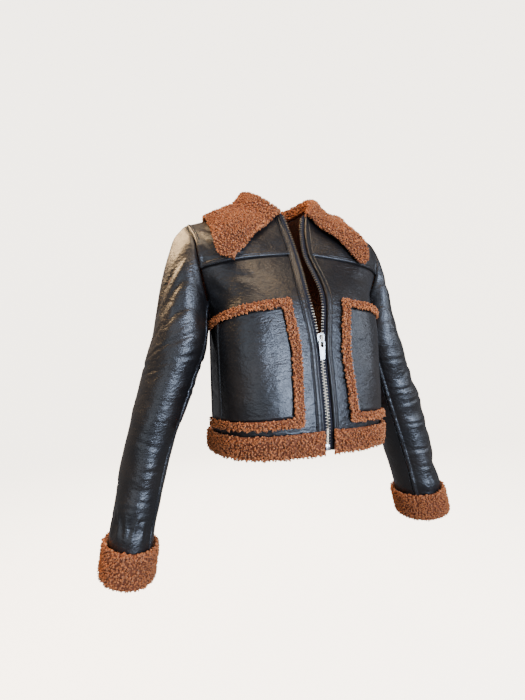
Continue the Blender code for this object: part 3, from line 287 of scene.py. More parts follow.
def panel(rows, w_inner, v, places, fixed, neck_steps):
    """The grid of points, v by columns, of half a front or half a back on the wearer's left."""
    front = w_inner > 0
    u = np.linspace(0, 1, SAMPLES + 1)
    curves = [row_curve(row, ZIP_EDGE + opening(row[2]) if front else 0.0, u) for row in rows]
    curves.append(top_row(w_inner, u))
    keys = [row[0] for row in rows] + [1.0]
    table = np.array([np.append(key, curve.ravel()) for key, curve in zip(keys, curves)])
    dense = smooth(table, v).reshape(len(v), len(u), 3)
    if front:  # the front edge follows the opening, and the rest of the row eases to it
        edge = ZIP_EDGE + opening(dense[:, 0, 2])
        dense[:, :, 0] += (edge - dense[:, 0, 0])[:, None] * (1 - u) ** 4
    # Below the armpit both panels end on one side seam, which runs straight between the rows' own ends.
    below = v <= ARMPIT_V
    ends = np.array([row[3:6] for row in rows])
    side = at_places(v[below], keys[:-1], ends)
    dense[below] += (side - dense[below, -1])[:, None] * u[:, None] ** 4
    count = len(places(1.0, 1.0)) - 1
    top = top_places(dense[-1], fixed, neck_steps, count) / row_length(dense[-1])
    grid = []
    for key, points in zip(v, dense):
        length = row_length(points)
        s = np.clip((key - YOKE_V) / (1 - YOKE_V), 0, 1)
        s = s * s * (3 - 2 * s)
        where = (1 - s) * places(length, key) + s * top * length
        where[: len(fixed)] = fixed
        grid.append(at_places(where, reaches(points), points))
    return np.array(grid)


def heights():
    """The keys v of the rows, from the hem to the top."""
    patch = np.linspace(TRIM_LOW_V[-1], TRIM_HIGH_V[0], PATCH_STEPS + 1)[1:-1]
    chest = np.linspace(ARMPIT_V, YOKE_V, CHEST_STEPS + 1)[1:]
    yoke = np.linspace(YOKE_V, 1, YOKE_STEPS + 1)[1:]
    return np.concatenate([HEM_V, TRIM_LOW_V, patch, TRIM_HIGH_V, chest, yoke])


V = heights()
HEM_ROW = len(HEM_V) - 1
TRIM_ROW, PATCH_ROW = HEM_ROW + 1, HEM_ROW + 3  # first rows of the pocket's lower trim and of its patch
PATCH_END, ARMPIT_ROW = PATCH_ROW + PATCH_STEPS, PATCH_ROW + PATCH_STEPS + 2
YOKE_ROW = ARMPIT_ROW + CHEST_STEPS
PLACKET_COLUMN, TRIM_COLUMN, PATCH_COLUMN = 2, 3, 5
WELT_COLUMN = PATCH_COLUMN + FRONT_MIDDLE_STEPS


def torso():
    """The grids of the left front, from zip to side, and of half the back, from the side to its centre."""
    fixed = [0, PLACKET_WIDTH / 2, PLACKET_WIDTH]
    front = panel(FRONT_ROWS, 1.0, V, front_places, fixed, FRONT_NECK_STEPS)
    back = panel(BACK_ROWS, 0.0, V, back_places, [0], BACK_NECK_STEPS)[:, ::-1]
    shoulder = BACK_STEPS - BACK_NECK_STEPS
    back[-1, shoulder::-1] = front[-1, FRONT_NECK_STEPS:]
    return front, back


def armhole(front, back):
    """The armhole's loop from the armpit up the back, over the shoulder tip and down the front."""
    return np.concatenate([back[ARMPIT_ROW:, 0], front[ARMPIT_ROW + 1 : -1, -1][::-1]])


def rings(side, t, count):
    """The rings of the sleeve below the armpit at the places t, each a loop of points like the armhole's."""
    x, y, z, half_width, half_depth, lean = smooth(SLEEVES[side], t).T[:, :, None]
    lean = np.radians(lean)
    turn = 2 * math.pi * np.arange(count) / count
    across, along = -half_width * np.cos(turn), half_depth * np.sin(turn)
    return np.stack([x + across * np.cos(lean), y + along, z + across * np.sin(lean)], axis=2)


def fold_height(side, around, along):
    """How far the folds move the sleeve's surface out, at the places around and along it."""
    height = np.zeros(np.broadcast(around, along).shape)
    for place, down, heading, reach, width, depth in FOLDS[side]:
        east = ((around - place + 0.5) % 1 - 0.5) * GIRTH
        south = (along - down) * ARM_LENGTH
        a = math.radians(heading)
        inside = np.clip(1 - ((east * math.cos(a) + south * math.sin(a)) / (reach / 2)) ** 2, 0, 1)
        height += depth * inside**1.5 * np.exp(-(((south * math.cos(a) - east * math.sin(a)) / width) ** 2))
    return height


def arm_places():
    return np.concatenate([np.linspace(0, CUFF_T, ARM_RINGS + 1), np.linspace(CUFF_T, 1, CUFF_RINGS + 1)[1:]])


def sleeve(side, loop):
    """The grid of one sleeve on the wearer's left, rings by points, from the armhole's loop to the wrist."""
    count = len(loop)
    t = arm_places()
    arm = rings(side, t, count)
    first = arm[0]
    pull = (arm[1] - arm[0]) / (t[1] - t[0])
    turn = 2 * math.pi * np.arange(count) / count
    top = ((1 - np.cos(turn)) / 2)[:, None]
    # The head of the sleeve leaves the armhole outwards at its top and downwards at the armpit.
    outwards, downwards = SHOULDER_SWELL[side]
    leave = top * (outwards, 0, downwards) + (1 - top) * (0.030, 0, -0.050)
    leave = leave + np.sin(turn)[:, None] * (0, 0.050, 0) + np.abs(np.sin(turn))[:, None] * (0, 0, -0.030)
    reach = np.linalg.norm(first - loop, axis=1)[:, None] / 0.24
    s = np.linspace(0, 1, CAP_RINGS + 1)[:-1, None, None]
    cap = hermite(s, loop, leave * reach, first, pull * reach * 0.55)
    grid = np.concatenate([cap, arm])
    along = np.concatenate([(1 - s[:, 0, 0]) * CAP_T, t])[:, None]
    moved = fold_height(side, np.arange(count) / count, along)
    closed = np.concatenate([grid, grid[:, :1]], axis=1)
    return grid + moved[:, :, None] * corner_normals([closed])[0][:, :-1]


def corner_normals(grids):
    """Unit normals of the grids' points, facing out. Grids that meet at a point share one normal there."""
    points = np.concatenate([grid.reshape(-1, 3) for grid in grids])
    _, index = np.unique(np.round(points, 6), axis=0, return_inverse=True)
    index = index.reshape(-1)
    total = np.zeros((index.max() + 1, 3))
    start = 0
    for grid in grids:
        rows, columns = grid.shape[:2]
        number = index[start : start + rows * columns].reshape(rows, columns)
        start += rows * columns
        face = np.cross(grid[1:, 1:] - grid[:-1, :-1], grid[1:, :-1] - grid[:-1, 1:])
        own = np.zeros_like(total)
        for corner in (number[:-1, :-1], number[1:, :-1], number[:-1, 1:], number[1:, 1:]):
            np.add.at(own, corner.ravel(), face.reshape(-1, 3))
        total += unit(own)
    total = unit(total)
    found, start = [], 0
    for grid in grids:
        size = grid.shape[0] * grid.shape[1]
        found.append(total[index[start : start + size]].reshape(grid.shape))
        start += size
    return found


def mirrored(grid):
    """The grid of the other side of the body, with its columns reversed so that its faces still look out."""
    return grid[:, ::-1] * (-1, 1, 1)


class Piece:
    """A panel's points and its normals."""

    def __init__(self, grid, normal):
        self.grid, self.normal = grid, normal

    def part(self, chosen):
        return Piece(self.grid[chosen], self.normal[chosen])

    def mirror(self):
        return Piece(mirrored(self.grid), mirrored(self.normal))


def beside(one, other):
    """Two pieces as one, the columns of the second after those of the first."""
    pairs = ((one.grid, other.grid), (one.normal, other.normal))
    return Piece(*(np.concatenate(pair, axis=1) for pair in pairs))


def whole(half):
    """A half that ends at the centre back, and its mirror image after it."""
    return beside(half, half.mirror().part(np.s_[:, 1:]))


def left_half(side):
    """The leather pieces of the wearer's left half. The side names whose folds the sleeve has."""
    front, back = torso()
    arm = sleeve(side, armhole(front, back))
    closed = np.concatenate([arm, arm[:, :1]], axis=1)
    front_normal, back_normal = corner_normals([front, back])
    arm_normal = corner_normals([closed])[0][:, :-1]
    back_normal[:, -1] = unit(back_normal[:, -1] * (0, 1, 1))
    count = arm.shape[1]
    top = np.arange(BACK_SEAM, FRONT_SEAM + 1)
    under = np.arange(FRONT_SEAM, count + BACK_SEAM + 1) % count
    front, arm = Piece(front, front_normal), Piece(arm, arm_normal)
    return {
        "front": front.part(np.s_[: YOKE_ROW + 1]),
        "yoke": front.part(np.s_[YOKE_ROW:]),
        "back": Piece(back, back_normal),
        "sleeve_top": arm.part(np.s_[:, top]),
        "sleeve_under": arm.part(np.s_[:, under]),
    }


def inset(grid, gap):
    """The grid with its four edges drawn in by a gap."""
    grid = grid.copy()
    for edge, inner in ((0, 1), (-1, -2)):
        grid[edge] += unit(grid[inner] - grid[edge]) * gap
        grid[:, edge] += unit(grid[:, inner] - grid[:, edge]) * gap
    return grid


def whole_front(left):
    """The front and the yoke as one piece, on which the placket, the pocket and the bands lie."""
    lower, yoke = left["front"], left["yoke"]
    return Piece(np.concatenate([lower.grid, yoke.grid[1:]]), np.concatenate([lower.normal, yoke.normal[1:]]))


def neck_seam(left):
    """The neckline from the right front edge round the back to the left, its w, and the panels' way up."""
    yoke, back = left["yoke"].grid, left["back"].grid
    corner = len(back[0]) - 1 - BACK_NECK_STEPS
    line = np.concatenate([yoke[-1, : FRONT_NECK_STEPS + 1], back[-1, corner + 1 :]])
    below = np.concatenate([yoke[-2, : FRONT_NECK_STEPS + 1], back[-2, corner + 1 :]])
    keys = np.linspace(0, 1, SAMPLES + 1)
    drawn = smooth(NECKLINE, keys)
    w = keys[np.linalg.norm(line[:, None] - drawn, axis=2).argmin(axis=1)]
    rows = np.column_stack([w, line, unit(line - below)])
    middles = (rows[1:] + rows[:-1]) / 2
    half = np.empty((len(rows) * 2 - 1, rows.shape[1]))
    half[::2], half[1::2] = rows, middles
    flip = (-1, -1, 1, 1, -1, 1, 1)
    seam = np.concatenate([half * flip, half[-2::-1]])
    return seam[:, 0], seam[:, 1:4], unit(seam[:, 4:])


def collar_surface(left, halves):
    """The wide collar's underside: it stands up from the neckline, rolls over and lies on the shoulders."""
    w, base, way = neck_seam(left)
    numbers = smooth(COLLAR, np.abs(w))
    flip = np.column_stack([np.where(w < 0, -1, 1), np.ones((len(w), 2))])
    stand, edge = numbers[:, :1], numbers[:, 1:] * flip
    edge[:, 0] -= LEFT_WING_IN * np.clip((w - 0.3) / 0.4, 0, 1)
    up = np.array((0, 0, 1.0))
    start = base + way * SEAM
    first = start + up * stand * COLLAR_ROLL
    lift = np.interp(w, (-0.5, 0.5), COLLAR_LIFT)[:, None] * np.clip(stand / COLLAR_FULL_STAND, 0.35, 1)
    last = edge - (edge - base) * 0.55 + up * lift
    s = np.linspace(0, 1, COLLAR_ROWS + 1)[:, None, None]
    under = bezier(s, start, first, last, edge)
    bow = COLLAR_BOW * np.clip((np.abs(w) - 0.80) / 0.20, 0, 1)[:, None]
    under = under - 4 * s * (1 - s) * bow * up
    under[1:] = clear_of(under[1:], left, halves)
    return Piece(under, corner_normals([under])[0])


def clear_of(points, left, halves):
    """The points moved out of the torso, the plackets and the sleeve heads, and a little clear of them."""
    corners, faces = [], []
    front = whole_front(left)
    front.grid[:, : PLACKET_COLUMN + 1] += front.normal[:, : PLACKET_COLUMN + 1] * PLACKET_RISE
    for grid in (front.grid, left["back"].grid, halves["left"]["sleeve_top"].grid[: CAP_RINGS + 1]):
        for copy in (grid, mirrored(grid)):
            faces += grid_faces(*copy.shape[:2], start=len(corners)).tolist()
            corners += [Vector(point) for point in copy.reshape(-1, 3)]
    tree = BVHTree.FromPolygons(corners, faces)
    moved = points.copy()
    rows, columns = points.shape[:2]
    part = np.arange(0, 1, 0.25)
    for _ in range(CLEARING_ROUNDS):
        push = np.zeros_like(moved)
        for row, column in np.ndindex(rows - 1, columns - 1):
            cell = moved[row : row + 2, column : column + 2]
            area = push[row : row + 2, column : column + 2]
            for s in part:
                for t in part:
                    share = np.outer((1 - s, s), (1 - t, t))[..., None]
                    point = Vector((cell * share).sum(axis=(0, 1)))
                    near, normal, _, _ = tree.find_nearest(point)
                    short = COLLAR_CLEAR - (point - near).dot(normal)
                    if short > 0:
                        wanted = np.array(normal) * short * (share > 0.2)
                        area[np.abs(wanted) > np.abs(area)] = wanted[np.abs(wanted) > np.abs(area)]
        if not push.any():
            break
        moved += push
    return moved


def zip_line(left):
    """The front edge's points and normals, from the hem to the neckline."""
    front = whole_front(left)
    return front.grid[:, 0], front.normal[:, 0]


def rounded(points, radius, steps=4):
    """A closed outline with its corners rounded."""
    result = []
    for before, corner, after in zip(points[-1:] + points[:-1], points, points[1:] + points[:1]):
        corner = np.array(corner)
        a, b = (unit(np.array(end) - corner) * radius for end in (before, after))
        for s in np.linspace(0, 1, steps + 1):
            result.append(tuple((1 - s) ** 2 * (corner + a) + 2 * s * (1 - s) * corner + s**2 * (corner + b)))
    return result


def slider_frame(left):
    """The frame at the pull tab's axis: across the zip, up along it, and out of the cloth."""
    edge, _ = zip_line(left)
    order = np.argsort(edge[:, 2])
    y = np.interp((SLIDER_Z - 0.01, SLIDER_Z, SLIDER_Z + 0.01), edge[order, 2], edge[order, 1])
    up = unit(np.array((0, y[2] - y[0], 0.02)))
    out = np.cross((1.0, 0, 0), up)
    middle = np.array((0, y[1], SLIDER_Z)) + np.array((0, 1, 0)) * LEATHER / 2
    origin = middle + out * (CHAIN_THICK / 2 + LIE + PLATE + AXIS_RISE)
    turn = Matrix((Vector((1, 0, 0)), Vector(up), Vector(out))).transposed().to_4x4()
    return Matrix.Translation(origin) @ turn


# Finer form of the leather
STEP = 0.0034  # spacing of a panel's points away from its edges
STITCH_LENGTH, STITCH_GAP, STITCH_RADIUS = 0.0027, 0.0009, 0.00032
RIDGE_WIDTH, RIDGE_RISE = 0.0076, 0.0022  # the raised, double-stitched side of a seam
RIDGE_START, RIDGE_START_SOFT, RIDGE_END_SOFT = 0.0009, 0.0012, 0.0022
STITCH_ROWS = (0.0017, RIDGE_WIDTH - 0.0016)  # how far the ridge's two rows of stitches lie from the seam
DITCH = 0.0026  # depth of a seam's line
# Soft ridges and grooves along an edge: the place from the edge, the width, and the rise.
SEAM_FORM = ((0.0, 0.0014, -DITCH), (0.0, 0.0040, -0.0003))
RIDGE_FORM = ((0.0, 0.0010, -DITCH), (STITCH_ROWS[0], 0.0006, -0.0009), (STITCH_ROWS[1], 0.0007, -0.0009))
PUFF_FORM = ((0.0090, 0.0070, 0.0012),)
PLACKET_FRONT_FORM = ((0.0026, 0.0020, 0.0012), (0.0062, 0.0014, -0.0021))
PLACKET_BACK_FORM = ((0.0022, 0.0013, -0.0017), (0.0056, 0.0018, 0.0008))
WELT_FORM = ((0.0042, 0.0007, -0.0007),)
PLACKET_STITCHES, WELT_STITCHES = (0.0050, 0.0018), 0.0042  # how far these rows lie from their edges
PLACKET_LOW = 0.72  # height of the placket's back band, as a share of its front band's
PLACKET_BAND, PLACKET_BAND_SOFT = 0.0072, 0.0030  # where the one band passes into the other
PLACKET_FOLD, PLACKET_TURN, PLACKET_END = 0.0022, 0.0018, 0.0020  # radii of its front, back and top edge
PATCH_ROUND, WELT_ROUND = 0.0045, 0.0030
# Soft swells of a surface: their height, the length of their waves, and the seed of their draws
SWELLS = {
    "front": (0.0006, 0.09, 3),
    "back": (0.0006, 0.10, 5),
    "left": (0.0010, 0.075, 7),
    "right": (0.0010, 0.075, 8),
    "patch": (0.0005, 0.045, 11),
    "pile": (0.0005, 0.011, 21),
}
WAVES = 9
# How far the points next to an edge lie from it
NEAR_EDGE = (0, 0.0005, 0.0010, 0.0016, 0.0022, 0.0030, 0.0040)
NEAR_EDGE += (0.0050, 0.0058, 0.0066, 0.0074, 0.0084, 0.0100, 0.0125)
# Creases of the sleeves, by the same places as the folds: a soft trough with a ridge below it.
# Columns: around, along, heading, length, width, depth
CREASES = {
    "right": (
        (0.72, 0.43, 4, 0.085, 0.005, -0.0009), (0.78, 0.53, -6, 0.07, 0.0045, -0.001),
        (0.7, 0.56, 8, 0.055, 0.004, -0.0007), (0.74, 0.655, 5, 0.075, 0.0045, -0.0011),
        (0.66, 0.69, -10, 0.05, 0.004, -0.0008), (0.8, 0.735, -2, 0.07, 0.0045, -0.001),
        (0.62, 0.76, 80, 0.06, 0.005, 0.0018), (0.68, 0.775, 74, 0.055, 0.0045, 0.0016),
        (0.74, 0.77, 102, 0.06, 0.005, 0.0018), (0.8, 0.78, 96, 0.05, 0.0045, 0.0014),
        (0.57, 0.785, 88, 0.055, 0.005, 0.0016), (0.5, 0.77, 84, 0.055, 0.005, 0.0016),
        (0.42, 0.78, 92, 0.055, 0.005, 0.0014), (0.34, 0.775, 95, 0.055, 0.005, 0.0016),
        (0.24, 0.78, 88, 0.055, 0.005, 0.0014), (0.6, -0.18, -62, 0.08, 0.006, -0.0016),
        (0.64, -0.14, -52, 0.085, 0.006, -0.002), (0.68, -0.09, -45, 0.08, 0.0055, -0.002),
        (0.74, -0.03, -36, 0.07, 0.005, -0.0018), (0.8, 0.04, -22, 0.06, 0.005, -0.0016),
        (0.55, -0.1, -70, 0.07, 0.006, -0.0012), (0.44, 0.12, 6, 0.08, 0.0055, -0.0014),
        (0.4, 0.3, -5, 0.085, 0.0055, -0.001), (0.36, 0.48, 7, 0.085, 0.0055, -0.001),
        (0.46, 0.62, -4, 0.075, 0.005, -0.0009), (0.22, 0.22, 5, 0.08, 0.006, -0.0018),
        (0.18, 0.35, -6, 0.085, 0.006, -0.0011), (0.2, 0.45, 4, 0.08, 0.0055, -0.001),
        (0.12, 0.15, 12, 0.07, 0.006, -0.002), (0.92, 0.06, -14, 0.07, 0.0055, -0.002),
        (0.9, 0.18, -8, 0.07, 0.0055, -0.0016), (0.88, 0.33, 6, 0.07, 0.0055, -0.0008),
        (0.52, -0.06, -58, 0.05, 0.0032, -0.0012), (0.57, -0.02, -50, 0.055, 0.003, -0.0012),
        (0.5, 0.02, -48, 0.05, 0.0032, -0.001), (0.6, 0.045, -40, 0.05, 0.003, -0.0012),
        (0.54, 0.085, -36, 0.045, 0.003, -0.001), (0.66, 0.01, -44, 0.045, 0.003, -0.0012),
        (0.69, 0.09, -28, 0.045, 0.003, -0.001), (0.6, 0.14, -24, 0.045, 0.0032, -0.0009),
        (0.47, 0.07, -40, 0.04, 0.003, -0.0009), (0.56, -0.13, -64, 0.05, 0.003, -0.0012),
        (0.63, -0.2, -66, 0.045, 0.003, -0.0011), (0.72, 0.3, -10, 0.05, 0.0034, -0.0005),
        (0.64, 0.38, 6, 0.045, 0.0034, -0.0005),
    ),
    "left": (
        (0.74, 0.11, -10, 0.09, 0.0055, -0.0015), (0.66, 0.185, 12, 0.08, 0.005, -0.0014),
        (0.76, 0.27, -4, 0.095, 0.005, -0.0016), (0.7, 0.345, -6, 0.095, 0.005, -0.0016),
        (0.74, 0.46, -8, 0.085, 0.0045, -0.0015), (0.76, 0.6, -4, 0.08, 0.0045, -0.0014),
        (0.72, 0.7, -5, 0.08, 0.0045, -0.0015), (0.66, 0.785, 85, 0.05, 0.0045, 0.0014),
        (0.74, 0.785, 96, 0.05, 0.0045, 0.0014), (0.56, 0.785, 88, 0.05, 0.0045, 0.0014),
        (0.46, 0.78, 92, 0.05, 0.0045, 0.0014), (0.34, 0.78, 86, 0.05, 0.0045, 0.0014),
        (0.62, -0.14, -50, 0.075, 0.006, -0.0014), (0.7, -0.06, -38, 0.07, 0.0055, -0.0016),
        (0.46, 0.16, -6, 0.085, 0.0055, -0.0012), (0.4, 0.26, 7, 0.085, 0.0055, -0.0015),
        (0.36, 0.42, -5, 0.085, 0.0055, -0.0014), (0.44, 0.56, 6, 0.075, 0.005, -0.0012),
        (0.22, 0.2, -5, 0.08, 0.006, -0.0014), (0.18, 0.33, 6, 0.085, 0.006, -0.0015),
        (0.2, 0.47, -4, 0.08, 0.0055, -0.0014), (0.1, 0.14, 12, 0.07, 0.006, -0.0015),
        (0.92, 0.08, -12, 0.07, 0.0055, -0.0015), (0.88, 0.3, 6, 0.07, 0.0055, -0.001),
    ),
}
# Soft creases of the torso's panels: place across and up the panel from its first and lowest line, in shares.
# Columns: across, up, heading, length, width, depth
PANEL_CREASES = {
    "front": (
        (0.92, 0.66, 58, 0.09, 0.0075, -0.002), (0.86, 0.6, 48, 0.08, 0.007, -0.0016),
        (0.95, 0.8, 70, 0.07, 0.0065, -0.0016), (0.8, 0.86, 30, 0.08, 0.009, -0.0014),
        (0.55, 0.9, 8, 0.09, 0.011, -0.0012), (0.93, 0.3, 4, 0.05, 0.006, -0.0014),
        (0.95, 0.44, -6, 0.045, 0.006, -0.0014),
    ),
    "yoke": (
        (0.88, 0.3, 62, 0.06, 0.0065, -0.0014), (0.8, 0.55, 58, 0.06, 0.0065, -0.0012),
        (0.72, 0.35, 50, 0.05, 0.006, -0.001),
    ),
    "back": (
        (0.1, 0.6, -58, 0.11, 0.009, -0.0022), (0.9, 0.6, 58, 0.11, 0.009, -0.0022),
        (0.17, 0.7, -66, 0.1, 0.0085, -0.0018), (0.83, 0.7, 66, 0.1, 0.0085, -0.0018),
        (0.3, 0.22, 3, 0.14, 0.01, -0.002), (0.68, 0.27, -4, 0.15, 0.01, -0.002),
        (0.5, 0.15, 1, 0.16, 0.01, -0.0016), (0.4, 0.8, 8, 0.11, 0.011, -0.0012),
        (0.62, 0.84, -8, 0.11, 0.011, -0.0012),
    ),
}
# About how wide and high each of these panels is
PANEL_SIZES = {"front": (0.25, 0.36), "yoke": (0.17, 0.12), "back": (0.40, 0.46)}
CREASE_BEND, CREASE_WAVER, CREASE_WAVES = 0.12, 0.0012, 95  # how a crease bows and wavers along its length
# Pile of the sherpa
CURL_RADIUS, CURL_THREAD = 0.00120, 0.00138  # of a curl's loop and of its yarn
CURL_HEIGHT, CURL_SINK = 0.0030, 0.0014  # how far a curl rises along its own axis, and how deep it starts
CURL_STEP = 0.0039  # spacing of the curls
CURL_GAP = 0.62  # least distance between two curls, as a share of their spacing
CURL_TURNS, CURL_RINGS = 1.20, 7
CURL_TILT, CURL_DROOP = 48, 0.30  # how far a curl leans, in degrees, and how much it hangs
EDGE_GROWTH = 0.45  # how much larger the curls are along an edge
PILE_STEP, PILE_DEPTH = 0.0032, 0.0022  # the base's spacing, and how far it lies under the pile's outer form
BAND_ROUND, COLLAR_ROUND, TRIM_ROUND = 0.0100, 0.0060, 0.0075  # radii of the pillows' edges
COLLAR_UNDER = 0.010  # how far the curls reach in under the collar's edge
# Teeth and tapes of the zip
TOOTH_PITCH, TOOTH_HEIGHT, TOOTH_THICK = 0.0050, 0.0017, 0.0030
TOOTH_START, TOOTH_MIDDLE = 0.0022, 0.0018  # the first tooth on its row, and a tooth's middle across the zip
# A tooth's outline: places across from the chain's middle, and half heights as shares of the tooth's height
TOOTH_OUTLINE = (
    (-0.0005, 0.26),
    (-0.0002, 0.42),
    (0.0004, 0.50),
    (0.0011, 0.46),
    (0.0016, 0.36),
    (0.0028, 0.36),
    (0.0038, 0.44),
    (0.0041, 0.38),
    (0.0043, 0.25),
)
TOOTH_RINGS = ((0.5, 0.78), (0.36, 1.0), (-0.36, 1.0), (-0.5, 0.78))  # shares of its thickness, and sizes
TAPE_BEAD = (0, 0, 0, 0, 0.0002, 0.0005, 0.0003)  # how much the tape thickens towards the teeth
TAPE_UNDER, TAPE_ROWS = 0.0024, 260  # how far the tape reaches in under the teeth
TRIANGLE = [(math.cos(a), math.sin(a)) for a in np.radians((90, 210, 330))]  # corners of a thin thread
THREADS = []


def distances(grid, axis):
    """How far each point of a grid lies along its own line, from the line's first point."""
    step = np.linalg.norm(np.diff(grid, axis=axis), axis=2)
    first = np.zeros_like(np.take(step, [0], axis=axis))
    return np.cumsum(np.concatenate([first, step], axis=axis), axis=axis)


def spread(length, spacing, near_first, near_last):
    """Places along a line, closer together at the ends where they are asked to be."""
    near = [place for place in NEAR_EDGE if place < length / 2.5]
    first = near if near_first else [0.0]
    last = [length - place for place in near[::-1]] if near_last else [length]
    count = max(int(round((last[0] - first[-1]) / spacing)), 1)
    return np.concatenate([first, np.linspace(first[-1], last[0], count + 1)[1:-1], last])


def along_axis(grid, places, wanted):
    """The grid on smooth curves through its points, at other places along its first axis."""
    table = np.column_stack([places, grid.reshape(len(grid), -1)])
    return smooth(table, wanted).reshape(len(wanted), *grid.shape[1:])


def finer(piece, spacing, near, loop=False):
    """A piece's finer grid and normals, with their rows and columns. near: low, high, first and last edge."""
    parts = (piece.grid, piece.normal)
    if loop:
        parts = [np.concatenate([part[:, -3:], part, part[:, :4]], axis=1) for part in parts]
    rows = distances(parts[0], 0).mean(axis=1)
    columns = distances(parts[0], 1).mean(axis=0)
    if loop:
        columns = columns - columns[3]
        length = columns[-4]
        count = int(round(length / spacing))
        across = np.arange(count) * length / count
    else:
        across = spread(columns[-1], spacing, near[2], near[3])
    up = spread(rows[-1], spacing, near[0], near[1])
    made = []
    for part in parts:
        part = along_axis(part, rows, up)
        made.append(along_axis(part.swapaxes(0, 1), columns, across).swapaxes(0, 1))
    row = np.interp(up, rows, np.arange(len(rows)))
    column = np.interp(across, columns, np.arange(len(columns)))
    return made[0], unit(made[1]), row[:, None], column


def new_object(name, data):
    item = bpy.data.objects.new(name, data)
    bpy.context.scene.collection.objects.link(item)
    return item


def mesh_object(name, points, faces, finish):
    """A smooth mesh object from arrays, whose faces all have the same number of corners."""
    mesh = bpy.data.meshes.new(name)
    mesh.vertices.add(len(points))
    mesh.vertices.foreach_set("co", np.ascontiguousarray(points, np.float32).ravel())
    mesh.loops.add(faces.size)
    mesh.loops.foreach_set("vertex_index", np.ascontiguousarray(faces, np.int32).ravel())
    mesh.polygons.add(len(faces))
    mesh.polygons.foreach_set("loop_start", np.arange(0, faces.size, faces.shape[1], dtype=np.int32))
    mesh.update(calc_edges=True)
    mesh.shade_smooth()
    mesh.materials.append(finish)
    return new_object(name, mesh)


def grid_faces(rows, columns, loop=False, start=0):
    """The quads of a grid whose points are numbered row by row."""
    number = np.arange(rows * columns).reshape(rows, columns) + start
    if loop:
        number = np.concatenate([number, number[:, :1]], axis=1)
    corners = (number[:-1, :-1], number[:-1, 1:], number[1:, 1:], number[1:, :-1])
    return np.stack(corners, axis=2).reshape(-1, 4)


def wall_faces(rows, columns, loop=False, start=0):
    """The outer side, edges and inner side of a wall between two grids numbered one after the other."""
    number = np.arange(rows * columns).reshape(rows, columns) + start
    if loop:
        lines = [number[0], number[-1][::-1]]
    else:
        lines = [np.concatenate([number[0, :-1], number[:-1, -1], number[-1, :0:-1], number[:0:-1, 0]])]
    half = rows * columns
    rims = []
    for line in lines:
        ahead = np.roll(line, -1)
        rims.append(np.stack([ahead, line, line + half, ahead + half], axis=1))
    inner = grid_faces(rows, columns, loop, start + half)[:, ::-1]
    return grid_faces(rows, columns, loop, start), np.concatenate(rims), inner


def tube_faces(rings, corners):
    """The quads of a tube whose points are numbered ring by ring."""
    faces = []
    for ring in range(rings - 1):
        for corner in range(corners):
            here, ahead = ring * corners + corner, ring * corners + (corner + 1) % corners
            faces.append((here, ahead, ahead + corners, here + corners))
    return faces


def repeated(faces, count, size):
    """The same faces for each of several copies that have so many points each."""
    return (np.array(faces)[None] + (np.arange(count) * size)[:, None, None]).reshape(-1, 4)


def sheet_object(name, outer, inner, finish, inside=None):
    """A wall between two grids: the outer side, the inner side and the edges between them."""
    faces = wall_faces(*outer.shape[:2])
    points = np.concatenate([outer.reshape(-1, 3), inner.reshape(-1, 3)])
    item = mesh_object(name, points, np.concatenate(faces), finish)
    if inside:
        item.data.materials.append(inside)
        index = np.repeat(np.array((0, 0, 1), np.int32), [len(part) for part in faces])
        item.data.polygons.foreach_set("material_index", index)
    item.data.set_sharp_from_angle(angle=math.radians(60))
    return item


def bump(distance, width):
    return np.exp(-((distance / width) ** 2))


def step(distance, start, soft):
    """0 before the start and 1 after it, eased over a soft stretch."""
    s = np.clip((distance - start) / soft + 0.5, 0, 1)
    return s * s * (3 - 2 * s)


def rolled(distance, radius):
    """The share of its height that a rolled edge has reached at a distance from it."""
    return np.sqrt(np.clip(1 - (1 - np.clip(distance / radius, 0, 1)) ** 2, 0, 1))


def form(distance, bumps):
    """The height of soft ridges and grooves at a distance from their edge."""
    return sum(rise * bump(distance - place, width) for place, width, rise in bumps)


def seam_relief(distance):
    """The form of a plain seam's side: it rolls down into the seam's line."""
    return form(distance, SEAM_FORM)


def ridge_relief(distance):
    """The form of a seam's double-stitched side: a raised band between two rows of stitches."""
    band = step(distance, RIDGE_START, RIDGE_START_SOFT) * (1 - step(distance, RIDGE_WIDTH, RIDGE_END_SOFT))
    return RIDGE_RISE * band + form(distance, RIDGE_FORM)


def stronger(*reliefs):
    """At each point, the relief that is furthest from zero."""
    stack = np.stack(np.broadcast_arrays(*reliefs))
    return np.take_along_axis(stack, np.abs(stack).argmax(axis=0)[None], axis=0)[0]


def crease_relief(across, up, table, width_m, length_m, round_it=False):
    """The form of creases at places given as shares of a surface: troughs with a low ridge on each side."""
    height = np.zeros(np.broadcast(across, up).shape)
    for place, down, heading, reach, width, depth in table:
        a = math.radians(heading)
        x, y = across - place, (up - down) * length_m
        x = ((x + 0.5) % 1 - 0.5 if round_it else x) * width_m
        along = x * math.cos(a) + y * math.sin(a)
        aside = y * math.cos(a) - x * math.sin(a) - CREASE_BEND * along**2 / reach
        aside = aside + CREASE_WAVER * np.sin(along * CREASE_WAVES + place * 40)
        inside = np.clip(1 - (along / (reach / 2)) ** 2, 0, 1) ** 1.3
        trough = bump(aside, width * 0.62) - 0.55 * bump(np.abs(aside) - width * 1.5, width)
        height += depth * inside * trough
    return height


def swell(points, name):
    """Soft uneven swells of a surface, from a few waves across its points."""
    rise, scale, seed = SWELLS[name]
    generator = np.random.default_rng(seed)
    total = np.zeros(points.shape[:-1])
    for _ in range(WAVES):
        wave = generator.normal(size=3) * math.pi / scale
        total += np.sin(points @ wave + generator.uniform(0, 2 * math.pi))
    return rise * total / (WAVES / 2)


